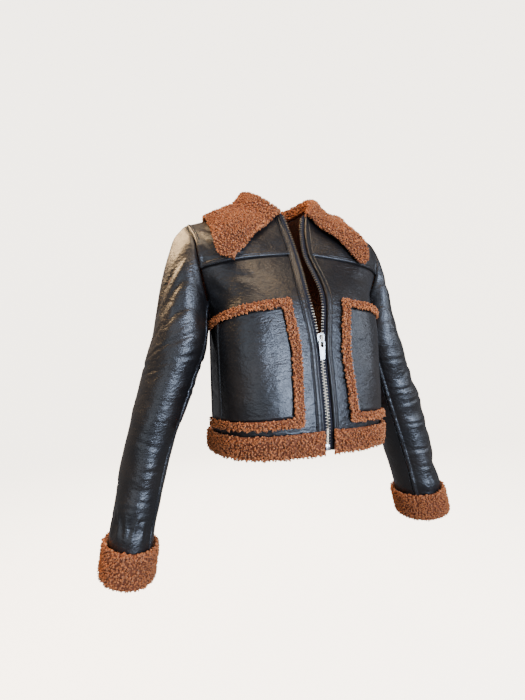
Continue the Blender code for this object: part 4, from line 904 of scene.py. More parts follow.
class Panel:
    """A leather panel's fine surface, with how far its points lie from its four edges."""

    def __init__(self, piece, near):
        self.grid, self.normal, self.row, self.column = finer(piece, STEP, near)
        self.up, self.across = distances(self.grid, 0), distances(self.grid, 1)
        self.down = self.up[-1:] - self.up
        self.back = self.across[:, -1:] - self.across
        self.moved = np.zeros(self.up.shape)

    def surface(self):
        return self.grid + self.normal * self.moved[..., None]

    def creases(self, name):
        """The creases of one of the torso's panels."""
        across, up = self.across / self.across[:, -1:], self.up / self.up[-1:]
        return crease_relief(across, up, PANEL_CREASES[name], *PANEL_SIZES[name])

    def both_sides(self):
        """The panel on the wearer's left, and its mirror image on the right."""
        other = Panel.__new__(Panel)
        other.grid, other.normal = mirrored(self.grid), mirrored(self.normal)
        other.moved = self.moved[:, ::-1]
        other.up, other.down = self.up[:, ::-1], self.down[:, ::-1]
        other.across, other.back = self.back[:, ::-1], self.across[:, ::-1]
        return (("left", self), ("right", other))

    def line(self, edge, distance):
        """The points and normals of the line at a distance from an edge, along it."""
        measure = {"low": self.up, "high": self.down, "first": self.across, "last": self.back}[edge]
        parts = [measure[..., None], self.surface(), self.normal]
        if edge in ("low", "high"):
            parts = [part.swapaxes(0, 1) for part in parts]
        if edge in ("high", "last"):
            parts = [part[:, ::-1] for part in parts]
        measure = parts[0][..., 0]
        points, normals = (
            np.concatenate([at_places([distance], m, p) for m, p in zip(measure, part)]) for part in parts[1:]
        )
        return points, unit(normals)


def dress(item, body, slot, *nodes):
    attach(item, body)
    if nodes:
        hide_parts(*nodes)


def leather_sheet(name, panel):
    """A leather panel as a wall, with its relief outside and its backing inside."""
    inner = panel.grid - panel.normal * LEATHER
    item = sheet_object(f"{name}_leather", panel.surface(), inner, MATERIALS["leather"], MATERIALS["backing"])
    dress(item, JACKET_BODY, "faux_leather", name)


def on_panel(name, panel):
    """A piece that lies on a panel, with its relief outside."""
    inner = panel.grid + panel.normal * LIE
    item = sheet_object(f"{name}_leather", panel.surface(), inner, MATERIALS["leather"])
    dress(item, JACKET_BODY, "faux_leather", name)


def sew(points, normals, start, end):
    """Keeps a row of stitches along a line for the thread's mesh, leaving out its start and end."""
    reach = reaches(points)
    pitch = STITCH_LENGTH + STITCH_GAP
    count = int((reach[-1] - start - end) / pitch)
    if count < 1:
        return
    middle = start + (np.arange(count) + 0.5) * pitch
    places = (middle - STITCH_LENGTH / 2, middle, middle + STITCH_LENGTH / 2)
    facing = unit(at_places(middle, reach, normals))
    THREADS.append([at_places(place, reach, points) for place in places] + [facing])


def sew_ridge(panel, edge, start, end, part=slice(None)):
    """The two rows of stitches of a panel's double-stitched edge, or of a part of it."""
    for distance in STITCH_ROWS:
        points, normals = panel.line(edge, distance)
        sew(points[part], normals[part], start, end)


def thread_object():
    """All stitches as one mesh: each is a short three-sided thread that dips into the leather at its ends."""
    first, middle, last, normal = (np.concatenate(parts) for parts in zip(*THREADS))
    aside = np.cross(unit(last - first), normal)
    rings = []
    for place, rise, size in ((first, -0.2, 0.6), (middle, 0.9, 1.15), (last, -0.2, 0.6)):
        centre = place + normal * STITCH_RADIUS * rise
        rings += [centre + (aside * x + normal * y) * STITCH_RADIUS * size for x, y in TRIANGLE]
    points = np.stack(rings, axis=1)
    faces = repeated(tube_faces(3, 3), len(points), 9)
    item = mesh_object("stitching", points.reshape(-1, 3), faces, MATERIALS["thread"])
    dress(item, JACKET_BODY, "faux_leather")


def torso_panels(left):
    """The fronts, the yokes and the back, with their seams, creases and topstitching."""
    front = Panel(left["front"], (False, True, False, True))
    seams = stronger(seam_relief(front.down), seam_relief(front.back))
    front.moved = seams + front.creases("front") + swell(front.grid, "front")
    for side, panel in front.both_sides():
        leather_sheet(f"front_{side}", panel)
    yoke = Panel(left["yoke"], (True, True, False, True))
    shoulder = step(yoke.column, FRONT_NECK_STEPS, 1.0)
    seams = stronger(ridge_relief(yoke.up), ridge_relief(yoke.back), seam_relief(yoke.down) * shoulder)
    yoke.moved = seams + yoke.creases("yoke")
    for side, panel in yoke.both_sides():
        leather_sheet(f"yoke_{side}", panel)
        sew_ridge(panel, "low", 0.002, 0.002)
        sew_ridge(panel, "last" if side == "left" else "first", 0.002, 0.002)
    back = Panel(whole(left["back"]), (False, True, True, True))
    over = step(back.row, ARMPIT_ROW, 0.6)
    corner, last = BACK_STEPS + 1 - BACK_NECK_STEPS, 2 * BACK_STEPS
    neck = step(back.column, corner - 0.5, 0.6) * (1 - step(back.column, last - corner + 0.5, 0.6))
    sides = [ridge_relief(d) * over + seam_relief(d) * (1 - over) for d in (back.across, back.back)]
    seams = stronger(*sides, ridge_relief(back.down) * (1 - neck))
    back.moved = seams + back.creases("back") + swell(back.grid, "back")
    leather_sheet("back", back)
    arm = int(np.searchsorted(back.row[:, 0], ARMPIT_ROW + 0.5))
    for edge in ("first", "last"):
        sew_ridge(back, edge, 0.002, 0.002, slice(arm, None))
    ends = np.searchsorted(back.column, (corner - 1.5, last - corner + 1.5))
    sew_ridge(back, "high", 0.004, 0.0, slice(None, ends[0]))
    sew_ridge(back, "high", 0.0, 0.004, slice(ends[1], None))


def sleeves(halves):
    """The two pieces of each sleeve, puffed at the armhole, creased along the arm and sewn at the seams."""
    count = 2 * (len(V) - ARMPIT_ROW) - 2
    steps = np.concatenate([np.linspace(CAP_T, 0, CAP_RINGS + 1)[:-1], arm_places()])
    kinds = (("sleeve_top", BACK_SEAM, ridge_relief), ("sleeve_under", FRONT_SEAM, seam_relief))
    for side in ("left", "right"):
        for name, first, relief in kinds:
            panel = Panel(halves[side][name], (True, False, True, True))
            around = (first + panel.column) / count
            along = np.interp(panel.row[:, 0], np.arange(len(steps)), steps)[:, None]
            creases = crease_relief(around, along, CREASES[side], GIRTH, ARM_LENGTH, round_it=True)
            seams = stronger(relief(panel.across), relief(panel.back), seam_relief(panel.up))
            panel.moved = seams + creases + form(panel.up, PUFF_FORM) + swell(panel.grid * (1, 1, 1.7), side)
            panel = dict(panel.both_sides())[side]
            leather_sheet(f"{name}_{side}", panel)
            if name == "sleeve_top":
                for edge in ("first", "last"):
                    sew_ridge(panel, edge, 0.004, 0.050)


def plackets(left):
    """The strips beside the zip: a folded edge, a row of stitches, a flat band, and a second row."""
    panel = Panel(whole_front(left).part(np.s_[HEM_ROW:, : PLACKET_COLUMN + 1]), (False, False, True, True))
    band = PLACKET_LOW + (1 - PLACKET_LOW) * step(panel.back, PLACKET_BAND, PLACKET_BAND_SOFT)
    edges = rolled(panel.across, PLACKET_FOLD) * rolled(panel.back, PLACKET_TURN)
    height = (PLACKET_RISE - LIE) * edges * band
    height = height + form(panel.across, PLACKET_FRONT_FORM) + form(panel.back, PLACKET_BACK_FORM)
    panel.moved = LIE + height * rolled(panel.down, PLACKET_END)
    for side, chosen in panel.both_sides():
        on_panel(f"placket_{side}", chosen)
        edges = ("first", "last") if side == "left" else ("last", "first")
        for edge, distance in zip(edges, PLACKET_STITCHES):
            sew(*chosen.line(edge, distance), 0.003, 0.004)


def pockets(left):
    """The pocket's leather patch and the welt at its side entry."""
    for name, first, last, rise, radius in (
        ("pocket_patch", PATCH_COLUMN, WELT_COLUMN, PATCH_RISE, PATCH_ROUND),
        ("pocket_welt", WELT_COLUMN, WELT_COLUMN + 1, WELT_RISE, WELT_ROUND),
    ):
        piece = left["front"].part(np.s_[PATCH_ROW : PATCH_END + 1, first : last + 1])
        panel = Panel(Piece(inset(piece.grid, SEAM), piece.normal), (True, True, True, True))
        edge = np.minimum.reduce([panel.across, panel.back, panel.up, panel.down])
        height = LIE + (rise - LIE) * rolled(edge, radius)
        if name == "pocket_patch":
            panel.moved = height + (height > rise * 0.98) * swell(panel.grid, "patch")
        else:
            panel.moved = height + form(panel.across, WELT_FORM)
        for side, chosen in panel.both_sides():
            on_panel(f"{name}_{side}", chosen)
            if name == "pocket_welt":
                sew(*chosen.line("first" if side == "left" else "last", WELT_STITCHES), 0.004, 0.004)


class Pile:
    """A sherpa piece: its base, and the places where its curls go."""

    def __init__(self, name, seed):
        self.name, self.draw = name, np.random.default_rng(seed)
        self.points, self.faces, self.count = [], [], 0
        self.roots, self.outs, self.wild = [], [], []

    def add(self, piece, low, high, radius, edges=(True, True, True, True), loop=False, under=0.0):
        """A pillow between two heights over a surface, round at the chosen edges, with curls over it."""
        grid, normal, _, _ = finer(piece, PILE_STEP, (False, False, False, False), loop)
        up, across = distances(grid, 0), distances(grid, 1)
        sides = (up, up[-1:] - up, across, across[:, -1:] - across)
        edge = np.minimum.reduce([side for side, used in zip(sides, edges) if used])
        share = rolled(edge, radius)
        middle, half = (low + high) / 2, (high - low) / 2
        top, bottom = middle + half * share, middle - half * share
        outer = grid + normal * (top + (swell(grid, "pile") - PILE_DEPTH) * share)[..., None]
        inner = grid + normal * (bottom + PILE_DEPTH * 0.3 * share)[..., None]
        self.points += [outer.reshape(-1, 3), inner.reshape(-1, 3)]
        self.faces += wall_faces(*share.shape, loop, self.count)
        self.count += share.size * 2
        self.root(grid + normal * top[..., None], normal, loop, np.ones(share.shape), 1 - share)
        if under > 0:
            self.root(grid + normal * bottom[..., None], -normal, loop, edge < under, 1 - share)

    def root(self, surface, normal, loop, chance, near_edge):
        """Strews curl places over a surface, evenly but not in rows. Near an edge the curls are longer."""
        parts = (surface, normal, chance, near_edge)
        if loop:
            parts = [np.concatenate([part, part[:, :1]], axis=1) for part in parts]
        surface, normal, chance, near_edge = parts
        a, b, c, d = surface[:-1, :-1], surface[:-1, 1:], surface[1:, 1:], surface[1:, :-1]
        facing = np.cross(c - a, d - b)
        facing = facing * np.sign((facing * normal[:-1, :-1]).sum(axis=2))[..., None]
        area = np.linalg.norm(facing, axis=2) / 2
        want = (area * chance[:-1, :-1] / (CURL_STEP**2 * 0.87)).ravel()
        total = np.cumsum(want)
        count = int(total[-1])
        place = (np.arange(count) + self.draw.uniform(0.1, 0.9, count)) / count * total[-1]
        cell = np.searchsorted(total, place).clip(0, len(want) - 1)
        s, t = self.draw.uniform(0, 1, (2, count))[:, :, None]
        a, b, c, d = (part.reshape(-1, 3)[cell] for part in (a, b, c, d))
        self.roots.append((1 - s) * ((1 - t) * a + t * b) + s * ((1 - t) * d + t * c))
        self.outs.append(unit(facing).reshape(-1, 3)[cell])
        self.wild.append(near_edge[:-1, :-1].reshape(-1)[cell])

    def curls(self):
        """The curls' mesh object: each is a short three-sided yarn wound about its own axis."""
        roots = np.concatenate(self.roots)
        kept = thin_out(roots, CURL_STEP * CURL_GAP)
        roots = roots[kept]
        out, wild = unit(np.concatenate(self.outs)[kept]), np.concatenate(self.wild)[kept, None]
        count, draw = len(roots), self.draw
        out = unit(out + (0, 0, -CURL_DROOP))
        side = unit(np.cross(out, unit(draw.normal(size=(count, 3)))))
        ahead = np.cross(out, side)
        tilt = np.radians(draw.uniform(0, CURL_TILT, count))[:, None]
        axis = unit(out * np.cos(tilt) + side * np.sin(tilt))
        first = unit(np.cross(ahead, axis))
        second = np.cross(axis, first)
        size = draw.uniform(0.75, 1.25, count)[:, None] * (1 + EDGE_GROWTH * wild)
        handed = np.where(draw.uniform(size=count) < 0.5, -1.0, 1.0)[:, None]
        phase = draw.uniform(0, 2 * math.pi, count)[:, None]
        turns = CURL_TURNS * draw.uniform(0.8, 1.2, count)[:, None]
        rings = []
        for s in np.linspace(0, 1, CURL_RINGS):
            angle = phase + handed * 2 * math.pi * turns * s
            radial = first * np.cos(angle) + second * np.sin(angle)
            centre = roots + radial * CURL_RADIUS * size * (1.0 - 0.55 * s)
            centre = centre + axis * (s * CURL_HEIGHT * size - CURL_SINK)
            thick = CURL_THREAD * size * (0.50 + 0.50 * math.sin(math.pi * min(s * 0.75 + 0.20, 1.0)))
            rings += [centre + (radial * x + axis * y) * thick for x, y in TRIANGLE]
        points = np.stack(rings, axis=1)
        faces = repeated(tube_faces(CURL_RINGS, 3), count, CURL_RINGS * 3)
        return mesh_object(f"{self.name}_curls", points.reshape(-1, 3), faces, MATERIALS["pile"])

    def finish(self, *laid):
        """Makes the base and the curls. The grids that they are laid on are not used."""
        points, faces = np.concatenate(self.points), np.concatenate(self.faces)
        # The base gets the pile's ground material, painted darker as shade between the curls
        base = mesh_object(f"{self.name}_base", points, faces, MATERIALS["pile_base_painted_shade"])
        dress(base, JACKET_BODY, "sherpa", self.name)
        curls = self.curls()
        dress(curls, JACKET_BODY, "sherpa")


def thin_out(points, gap):
    """The numbers of the points to keep, so that none lies closer than the gap to one kept before it."""
    cells = np.floor(points / gap).astype(int)
    around = list(np.ndindex(3, 3, 3))
    taken, kept = {}, []
    for number, ((x, y, z), point) in enumerate(zip(cells.tolist(), points)):
        others = (taken.get((x + dx - 1, y + dy - 1, z + dz - 1)) for dx, dy, dz in around)
        if not any(other is not None and ((points[other] - point) ** 2).sum() < gap**2 for other in others):
            taken[x, y, z] = number
            kept.append(number)
    return kept


def sherpa(left, halves):
    """The hem band, the cuffs, the collar and the pockets' edges."""
    rows = slice(0, HEM_ROW + 1)
    piece = whole(beside(left["front"].part(np.s_[rows, :-1]), left["back"].part(np.s_[rows, :])))
    piece.grid[0] += unit(piece.grid[0] - piece.grid[1]) * BAND_DROP
    hem = Pile("hem_band", 31)
    hem.add(piece, LIE, BAND_RISE, BAND_ROUND)
    hem.finish(piece.grid)
    wrist = np.s_[CAP_RINGS + ARM_RINGS :, :-1]
    for side, seed in (("left", 41), ("right", 42)):
        piece = beside(halves[side]["sleeve_top"].part(wrist), halves[side]["sleeve_under"].part(wrist))
        piece.grid[-1] += unit(piece.grid[-1] - piece.grid[-2]) * BAND_DROP
        if side == "right":
            piece = piece.mirror()
        cuff = Pile(f"cuff_{side}", seed)
        cuff.add(piece, LIE, BAND_RISE, BAND_ROUND, edges=(True, True, False, False), loop=True)
        cuff.finish(piece.grid)
    piece = collar_surface(left, halves)
    collar = Pile("collar", 51)
    collar.add(piece, 0.0, COLLAR_THICK, COLLAR_ROUND, edges=(False, True, True, True), under=COLLAR_UNDER)
    collar.finish(piece.grid)
    strips = (
        np.s_[TRIM_ROW : PATCH_ROW + 1, TRIM_COLUMN:],
        np.s_[PATCH_END : ARMPIT_ROW + 1, TRIM_COLUMN:-1],
        np.s_[TRIM_ROW : ARMPIT_ROW + 1, TRIM_COLUMN : PATCH_COLUMN + 1],
    )
    for side, seed in (("left", 61), ("right", 62)):
        trim = Pile(f"pocket_trim_{side}", seed)
        pieces = [left["front"].part(strip) for strip in strips]
        if side == "right":
            pieces = [piece.mirror() for piece in pieces]
        for piece in pieces:
            trim.add(piece, LIE, TRIM_RISE, TRIM_ROUND)
        trim.finish(*(piece.grid for piece in pieces))


def tapes(left):
    """The woven tapes of the zip, each from its leather edge to under its row of teeth."""
    edge, normal = zip_line(left)
    places = np.linspace(SEAM, ZIP_EDGE - CHAIN_HALF + TAPE_UNDER, len(TAPE_BEAD))
    grid = np.stack([edge - normal * LEATHER / 2 - (place, 0, 0) for place in places], axis=1)
    facing = np.repeat(unit(normal * (0, 1, 1))[:, None], len(places), axis=1)
    rows = distances(grid, 0).mean(axis=1)
    wanted = np.linspace(0, rows[-1], TAPE_ROWS)
    grid, facing = along_axis(grid, rows, wanted), unit(along_axis(facing, rows, wanted))
    thick = TAPE_THICK / 2 + np.array(TAPE_BEAD)[:, None]
    walls = (grid + facing * thick, grid - facing * thick)
    for side in ("left", "right"):
        outer, inner = (wall[:, ::-1] if side == "left" else wall * (-1, 1, 1) for wall in walls)
        item = sheet_object(f"zip_tape_{side}_woven", outer, inner, MATERIALS["tape"])
        dress(item, JACKET_BODY, "zip_tape", f"zip_tape_{side}")


def teeth(left):
    """The two rows of metal teeth, meshed below the slider and apart above it."""
    outline = TOOTH_OUTLINE + tuple((across, -share) for across, share in TOOTH_OUTLINE[::-1])
    across, share = np.array(outline).T
    count = len(outline)
    faces = [face[::-1] for face in tube_faces(len(TOOTH_RINGS), count)]
    base = (len(TOOTH_RINGS) - 1) * count
    for corner in range(count // 2 - 1):
        faces.append((corner, corner + 1, count - 2 - corner, count - 1 - corner))
        faces.append((base + corner, base + count - 1 - corner, base + count - 2 - corner, base + corner + 1))
    edge, normal = zip_line(left)
    line = edge[1:] - normal[1:] * LEATHER / 2 - (ZIP_EDGE, 0, 0)
    reach = reaches(line)
    table = np.column_stack([reach, line, unit(normal[1:] * (0, 1, 1))])
    for side, sign in (("left", 1), ("right", -1)):
        start = TOOTH_START + (TOOTH_PITCH / 2 if sign < 0 else 0)
        places = np.arange(start, reach[-1] - 0.001, TOOTH_PITCH)
        at = smooth(table, places)
        point, out = at[:, :3], unit(at[:, 3:])
        along = unit(smooth(table, places + 0.001)[:, :3] - smooth(table, places - 0.001)[:, :3])
        aside = unit(np.cross(out, along))
        aside = aside * np.sign(aside[:, :1])
        up = np.cross(aside, out)
        up = up * np.sign((up * along).sum(axis=1))[:, None]
        rings = []
        for depth, size in TOOTH_RINGS:
            x = TOOTH_MIDDLE + (across - TOOTH_MIDDLE) * (1 - (1 - size) * 0.4)
            y = share * TOOTH_HEIGHT * size
            ring = point[:, None] + aside[:, None] * x[:, None] + up[:, None] * y[:, None]
            rings.append(ring + out[:, None] * depth * TOOTH_THICK)
        points = np.concatenate(rings, axis=1) * (sign, 1, 1)
        placed = repeated(faces, len(points), len(TOOTH_RINGS) * count)[:, ::sign]
        item = mesh_object(f"zip_teeth_{side}_metal", points.reshape(-1, 3), placed, MATERIALS["teeth"])
        item.data.set_sharp_from_angle(angle=math.radians(35))
        dress(item, JACKET_BODY, "zip_teeth", f"zip_teeth_{side}")


def metal_object(name, mesh, finish=0):
    """A metal object from a mesh. Finish 0 is the slider's metal, and 1 is the teeth's."""
    mesh.materials.clear()
    mesh.materials.append(MATERIALS["metal"])
    mesh.polygons.foreach_set("material_index", np.full(len(mesh.polygons), finish, np.int32))
    mesh.shade_smooth()
    mesh.set_sharp_from_angle(angle=math.radians(40))
    return new_object(name, mesh)


def metal_plate(loops, thick, edge):
    """A flat piece with rounded edges from closed outlines of (across, up) points. A second one is a hole."""
    curve = bpy.data.curves.new("plate", "CURVE")
    curve.dimensions = "2D"
    curve.fill_mode = "BOTH"
    curve.extrude = thick / 2 - edge
    curve.bevel_depth = edge
    curve.bevel_resolution = 2
    curve.offset = -edge
    for loop in loops:
        spline = curve.splines.new("POLY")
        spline.points.add(len(loop) - 1)
        for point, (across, up) in zip(spline.points, loop):
            point.co = (across, up, 0, 1)
        spline.use_cyclic_u = True
    drawn = new_object("plate_drawn", curve)
    mesh = bpy.data.meshes.new_from_object(drawn.evaluated_get(bpy.context.evaluated_depsgraph_get()))
    bpy.data.objects.remove(drawn)
    return metal_object("plate", mesh)


def metal_block(size, centre, bevel, finish=0):
    """A box with rounded edges, as a new mesh object."""
    solid = bmesh.new()
    bmesh.ops.create_cube(solid, size=1, matrix=Matrix.Translation(centre) @ Matrix.Diagonal((*size, 1)))
    bmesh.ops.bevel(solid, geom=solid.edges[:], offset=bevel, segments=3, affect="EDGES", profile=0.5)
    mesh = bpy.data.meshes.new("metal_block")
    solid.to_mesh(mesh)
    solid.free()
    return metal_object("metal_block", mesh, finish)


def joined(name, parts):
    """One mesh object from several, with their places."""
    whole_mesh = bmesh.new()
    for part in parts:
        part.data.transform(part.matrix_world)
        whole_mesh.from_mesh(part.data)
        bpy.data.objects.remove(part)
    mesh = bpy.data.meshes.new(name)
    whole_mesh.to_mesh(mesh)
    whole_mesh.free()
    mesh.materials.append(MATERIALS["metal"])
    if any(polygon.material_index for polygon in mesh.polygons):
        mesh.materials.append(MATERIALS["teeth"])
    mesh.set_sharp_from_angle(angle=math.radians(40))
    return new_object(name, mesh)


def symmetric(half):
    """A closed outline from the points of its half on the right, from the bottom to the top."""
    return half + [(-across, up) for across, up in half[::-1]]


def slider_and_tab(left):
    """The slider with its bail, and the pull tab with its window and its pressed panel."""
    place = slider_frame(left)
    low, high = -AXIS_FROM_BOTTOM, SLIDER_LENGTH - AXIS_FROM_BOTTOM
    shield = [(SLIDER_BOTTOM / 2, low), (SLIDER_TOP / 2, high * 0.62), (SLIDER_TOP * 0.32, high)]
    front_plate = -AXIS_RISE - PLATE / 2
    back_plate = front_plate - PLATE - CHAIN_THICK - 2 * LIE
    parts = []
    for out in (front_plate, back_plate):
        plate = metal_plate([rounded(symmetric(shield), 0.0024, 6)], PLATE, 0.0005)
        plate.matrix_world = Matrix.Translation((0, 0, out))
        parts.append(plate)
    rise = AXIS_RISE + BAIL_BAR / 2 - front_plate
    length, middle = BAIL_LOW + BAIL_HIGH + 2 * BAIL_BAR, (BAIL_HIGH - BAIL_LOW) / 2
    core, core_out = (0.0018, 0.0024, front_plate - back_plate), (front_plate + back_plate) / 2
    flange, flange_out = (0.0010, 0.0105, 0.0012), front_plate - 0.0012
    post, bar = (BAIL_WIDTH, BAIL_BAR, rise), (BAIL_WIDTH, length, BAIL_BAR)
    for size, centre, bevel, finish in (
        (core, (0, high - 0.0022, core_out), 0.0003, 0),
        (flange, (-0.0056, 0.0012, flange_out), 0.0003, 0),
        (flange, (0.0056, 0.0012, flange_out), 0.0003, 0),
        (post, (0, -BAIL_LOW - BAIL_BAR / 2, front_plate + rise / 2), 0.0004, 1),
        (post, (0, BAIL_HIGH + BAIL_BAR / 2, front_plate + rise / 2), 0.0004, 1),
        (bar, (0, middle, AXIS_RISE + BAIL_BAR / 2), 0.0005, 1),
    ):
        parts.append(metal_block(size, centre, bevel, finish))
    for part in parts:
        part.matrix_world = place @ part.matrix_world
    dress(joined("zip_slider_metal", parts), JACKET_BODY, "slider_metal", "zip_slider")
    top, low = TAB_BAR / 2, -TAB_LENGTH
    outer = symmetric([(TAB_BOTTOM / 2, low), (TAB_TOP / 2, top - 0.0045), (TAB_TOP * 0.30, top)])
    hole = symmetric([(SLOT_WIDTH / 2, -SLOT_LENGTH), (SLOT_WIDTH / 2, -TAB_BAR / 2)])
    tab = metal_plate([rounded(outer, 0.0022, 6), rounded(hole, 0.0018, 6)], TAB_THICK, 0.0004)
    rim_outer = symmetric([(0.0027, low + 0.0035), (0.0034, -SLOT_LENGTH - 0.0035)])
    rim_inner = [(across * 0.78, up + (0.0008 if up < -0.02 else -0.0008)) for across, up in rim_outer]
    rim = metal_plate([rounded(rim_outer, 0.0012), rounded(rim_inner, 0.0009)], 0.0006, 0.00018)
    rim.matrix_world = Matrix.Translation((0, 0, TAB_THICK / 2))
    lean = place @ Matrix.Rotation(math.radians(TAB_REST_LEAN), 4, "X")
    for part in (tab, rim):
        part.matrix_world = lean @ part.matrix_world
    dress(joined("zip_pull_tab_metal", [tab, rim]), TAB_BODY, "slider_metal", "zip_pull_tab")


def zip_ends(left):
    """The box and pin at the zip's lower end, and the folded tape ends at its top."""
    edge, normal = zip_line(left)
    z = edge[1, 2] - SEAM - BOX_HEIGHT / 2
    y = np.interp(z, edge[:2, 2], edge[:2, 1]) + LEATHER / 2
    box = metal_block((2 * CHAIN_HALF, BOX_THICK, BOX_HEIGHT), (0, y, z), 0.0009)
    pin = metal_block((0.0022, BOX_THICK + 0.0006, BOX_HEIGHT * 0.62), (0.0020, y, z + 0.0006), 0.0005)
    dress(joined("zip_box_metal", [box, pin]), JACKET_BODY, "zip_teeth", "zip_box")
    for side, sign in (("left", 1), ("right", -1)):
        x, y, z = edge[-1] - normal[-1] * LEATHER / 2 + (-0.0030, 0.0, 0.0010)
        end = metal_block((0.0042, 0.0024, 0.0058), (sign * x, y, z), 0.0009)
        end.data.materials[0] = MATERIALS["tape"]
        end.name = f"zip_tape_end_{side}"
        dress(end, JACKET_BODY, "zip_tape")


class Nodes:
    """Short calls for a material's nodes."""

    def __init__(self, name, **values):
        self.made = bpy.data.materials.new(name)
        self.made.use_nodes = True
        self.tree = self.made.node_tree
        self.shader = self.tree.nodes["Principled BSDF"]
        self.place = self.tree.nodes.new("ShaderNodeTexCoord").outputs["Object"]
        for socket, value in values.items():
            self.shader.inputs[socket.replace("_", " ")].default_value = value

    def node(self, kind, links, **values):
        """A node with its linked inputs and its fixed ones. An underscore stands for a space."""
        node = self.tree.nodes.new(kind)
        for socket, value in values.items():
            node.inputs[socket.replace("_", " ")].default_value = value
        for socket, source in links.items():
            self.tree.links.new(source, node.inputs[socket])
        return node

    def shade(self, socket, source):
        self.tree.links.new(source, self.shader.inputs[socket])

    def scaled(self, scale):
        return self.node("ShaderNodeMapping", {"Vector": self.place}, Scale=scale).outputs["Vector"]

    def noise(self, scale, detail, roughness, place=None, distortion=0.0):
        links = {"Vector": place or self.place}
        values = {"Scale": scale, "Detail": detail, "Roughness": roughness, "Distortion": distortion}
        return self.node("ShaderNodeTexNoise", links, **values).outputs["Fac"]

    def cells(self, scale):
        return self.node("ShaderNodeTexVoronoi", {"Vector": self.place}, Scale=scale).outputs["Distance"]

    def waves(self, scale, direction):
        node = self.node("ShaderNodeTexWave", {"Vector": self.place}, Scale=scale, Distortion=0.4)
        node.bands_direction = direction
        return node.outputs["Fac"]

    def ramp(self, value, *stops):
        """A colour, or a grey, that follows a value through (place, colour) stops."""
        node = self.node("ShaderNodeValToRGB", {"Fac": value})
        for _ in stops[2:]:
            node.color_ramp.elements.new(0.5)
        for element, (place, colour) in zip(node.color_ramp.elements, stops):
            element.position = place
            element.color = (*colour, 1) if len(colour) == 3 else (*colour * 3, 1)
        return node.outputs["Color"]

    def raised(self, height, depth, strength, after=None):
        links = {"Height": height, "Normal": after} if after else {"Height": height}
        return self.node("ShaderNodeBump", links, Distance=depth, Strength=strength).outputs["Normal"]


def leather_material():
    nodes = Nodes("faux_leather_grain", Specular_IOR_Level=0.50)
    dark, middle, light = (0.0040, 0.0036, 0.0040), (0.0070, 0.0055, 0.0050), (0.0130, 0.0090, 0.0070)
    cloudy = nodes.noise(14, 3, 0.55)
    nodes.shade("Base Color", nodes.ramp(cloudy, (0.30, dark), (0.52, middle), (0.75, light)))
    nodes.shade("Roughness", nodes.ramp(nodes.noise(38, 4, 0.6), (0.30, (0.33,)), (0.70, (0.45,))))
    swell_noise = nodes.noise(26, 3, 0.5, nodes.scaled((1.0, 1.0, 1.6)), 0.6)
    wrinkle = nodes.noise(85, 2, 0.5, nodes.scaled((0.8, 0.8, 1.5)), 0.3)
    fine = nodes.noise(230, 2, 0.5, nodes.scaled((0.7, 0.7, 1.4)), 0.3)
    normal = nodes.raised(swell_noise, 0.0040, 0.40)
    normal = nodes.raised(wrinkle, 0.0018, 0.50, normal)
    normal = nodes.raised(fine, 0.00085, 0.80, normal)
    nodes.shade("Normal", nodes.raised(nodes.cells(560), 0.00022, 0.70, normal))
    return nodes.made


def pile_material(name, dark, middle, light, sheen):
    nodes = Nodes(name, Roughness=0.88, Specular_IOR_Level=0.22, Sheen_Weight=sheen, Sheen_Roughness=0.5)
    nodes.shader.inputs["Sheen Tint"].default_value = (1.0, 0.62, 0.38, 1)
    fine = nodes.ramp(nodes.noise(420, 3, 0.6), (0.28, dark), (0.50, middle), (0.74, light))
    wide = nodes.ramp(nodes.noise(40, 2, 0.5), (0.30, (0.80, 0.76, 0.74)), (0.70, (1.0, 1.0, 1.0)))
    mix = nodes.tree.nodes.new("ShaderNodeMix")
    mix.data_type = "RGBA"
    mix.blend_type = "MULTIPLY"
    mix.inputs["Factor"].default_value = 1.0
    nodes.tree.links.new(fine, mix.inputs["A"])
    nodes.tree.links.new(wide, mix.inputs["B"])
    nodes.shade("Base Color", mix.outputs["Result"])
    nodes.shade("Normal", nodes.raised(nodes.noise(2600, 3, 0.7), 0.0005, 0.8))
    return nodes.made


def backing_material():
    values = {"Roughness": 0.95, "Specular_IOR_Level": 0.15, "Sheen_Weight": 0.4, "Sheen_Roughness": 0.5}
    nodes = Nodes("bonded_fleece_backing", **values)
    dark, light = (0.105, 0.036, 0.016), (0.215, 0.080, 0.034)
    nodes.shade("Base Color", nodes.ramp(nodes.noise(300, 4, 0.6), (0.30, dark), (0.70, light)))
    nodes.shade("Normal", nodes.raised(nodes.cells(330), 0.0014, 0.8))
    return nodes.made


def tape_material():
    nodes = Nodes("zip_tape_weave", Roughness=0.75, Specular_IOR_Level=0.2, Sheen_Weight=0.05)
    dark, light = (0.004, 0.004, 0.008), (0.010, 0.010, 0.016)
    nodes.shade("Base Color", nodes.ramp(nodes.noise(220, 3, 0.5), (0.30, dark), (0.70, light)))
    ribs = nodes.raised(nodes.waves(420, "Z"), 0.0003, 0.7)
    nodes.shade("Normal", nodes.raised(nodes.waves(520, "X"), 0.0002, 0.5, ribs))
    return nodes.made


def metal_material(name, colour, rough, metallic):
    nodes = Nodes(name, Metallic=metallic)
    wear = nodes.noise(700, 4, 0.6)
    nodes.shade("Roughness", nodes.ramp(wear, (0.30, (rough * 0.75,)), (0.70, (rough * 1.35,))))
    worn = tuple(part * 0.86 for part in colour)
    nodes.shade("Base Color", nodes.ramp(wear, (0.25, worn), (0.60, colour)))
    nodes.shade("Normal", nodes.raised(wear, 0.00005, 0.4))
    return nodes.made


def thread_material():
    nodes = Nodes("dark_thread", Roughness=0.42, Specular_IOR_Level=0.6)
    dark, light = (0.018, 0.018, 0.021), (0.045, 0.044, 0.050)
    nodes.shade("Base Color", nodes.ramp(nodes.noise(3000, 2, 0.5), (0.30, dark), (0.70, light)))
    return nodes.made


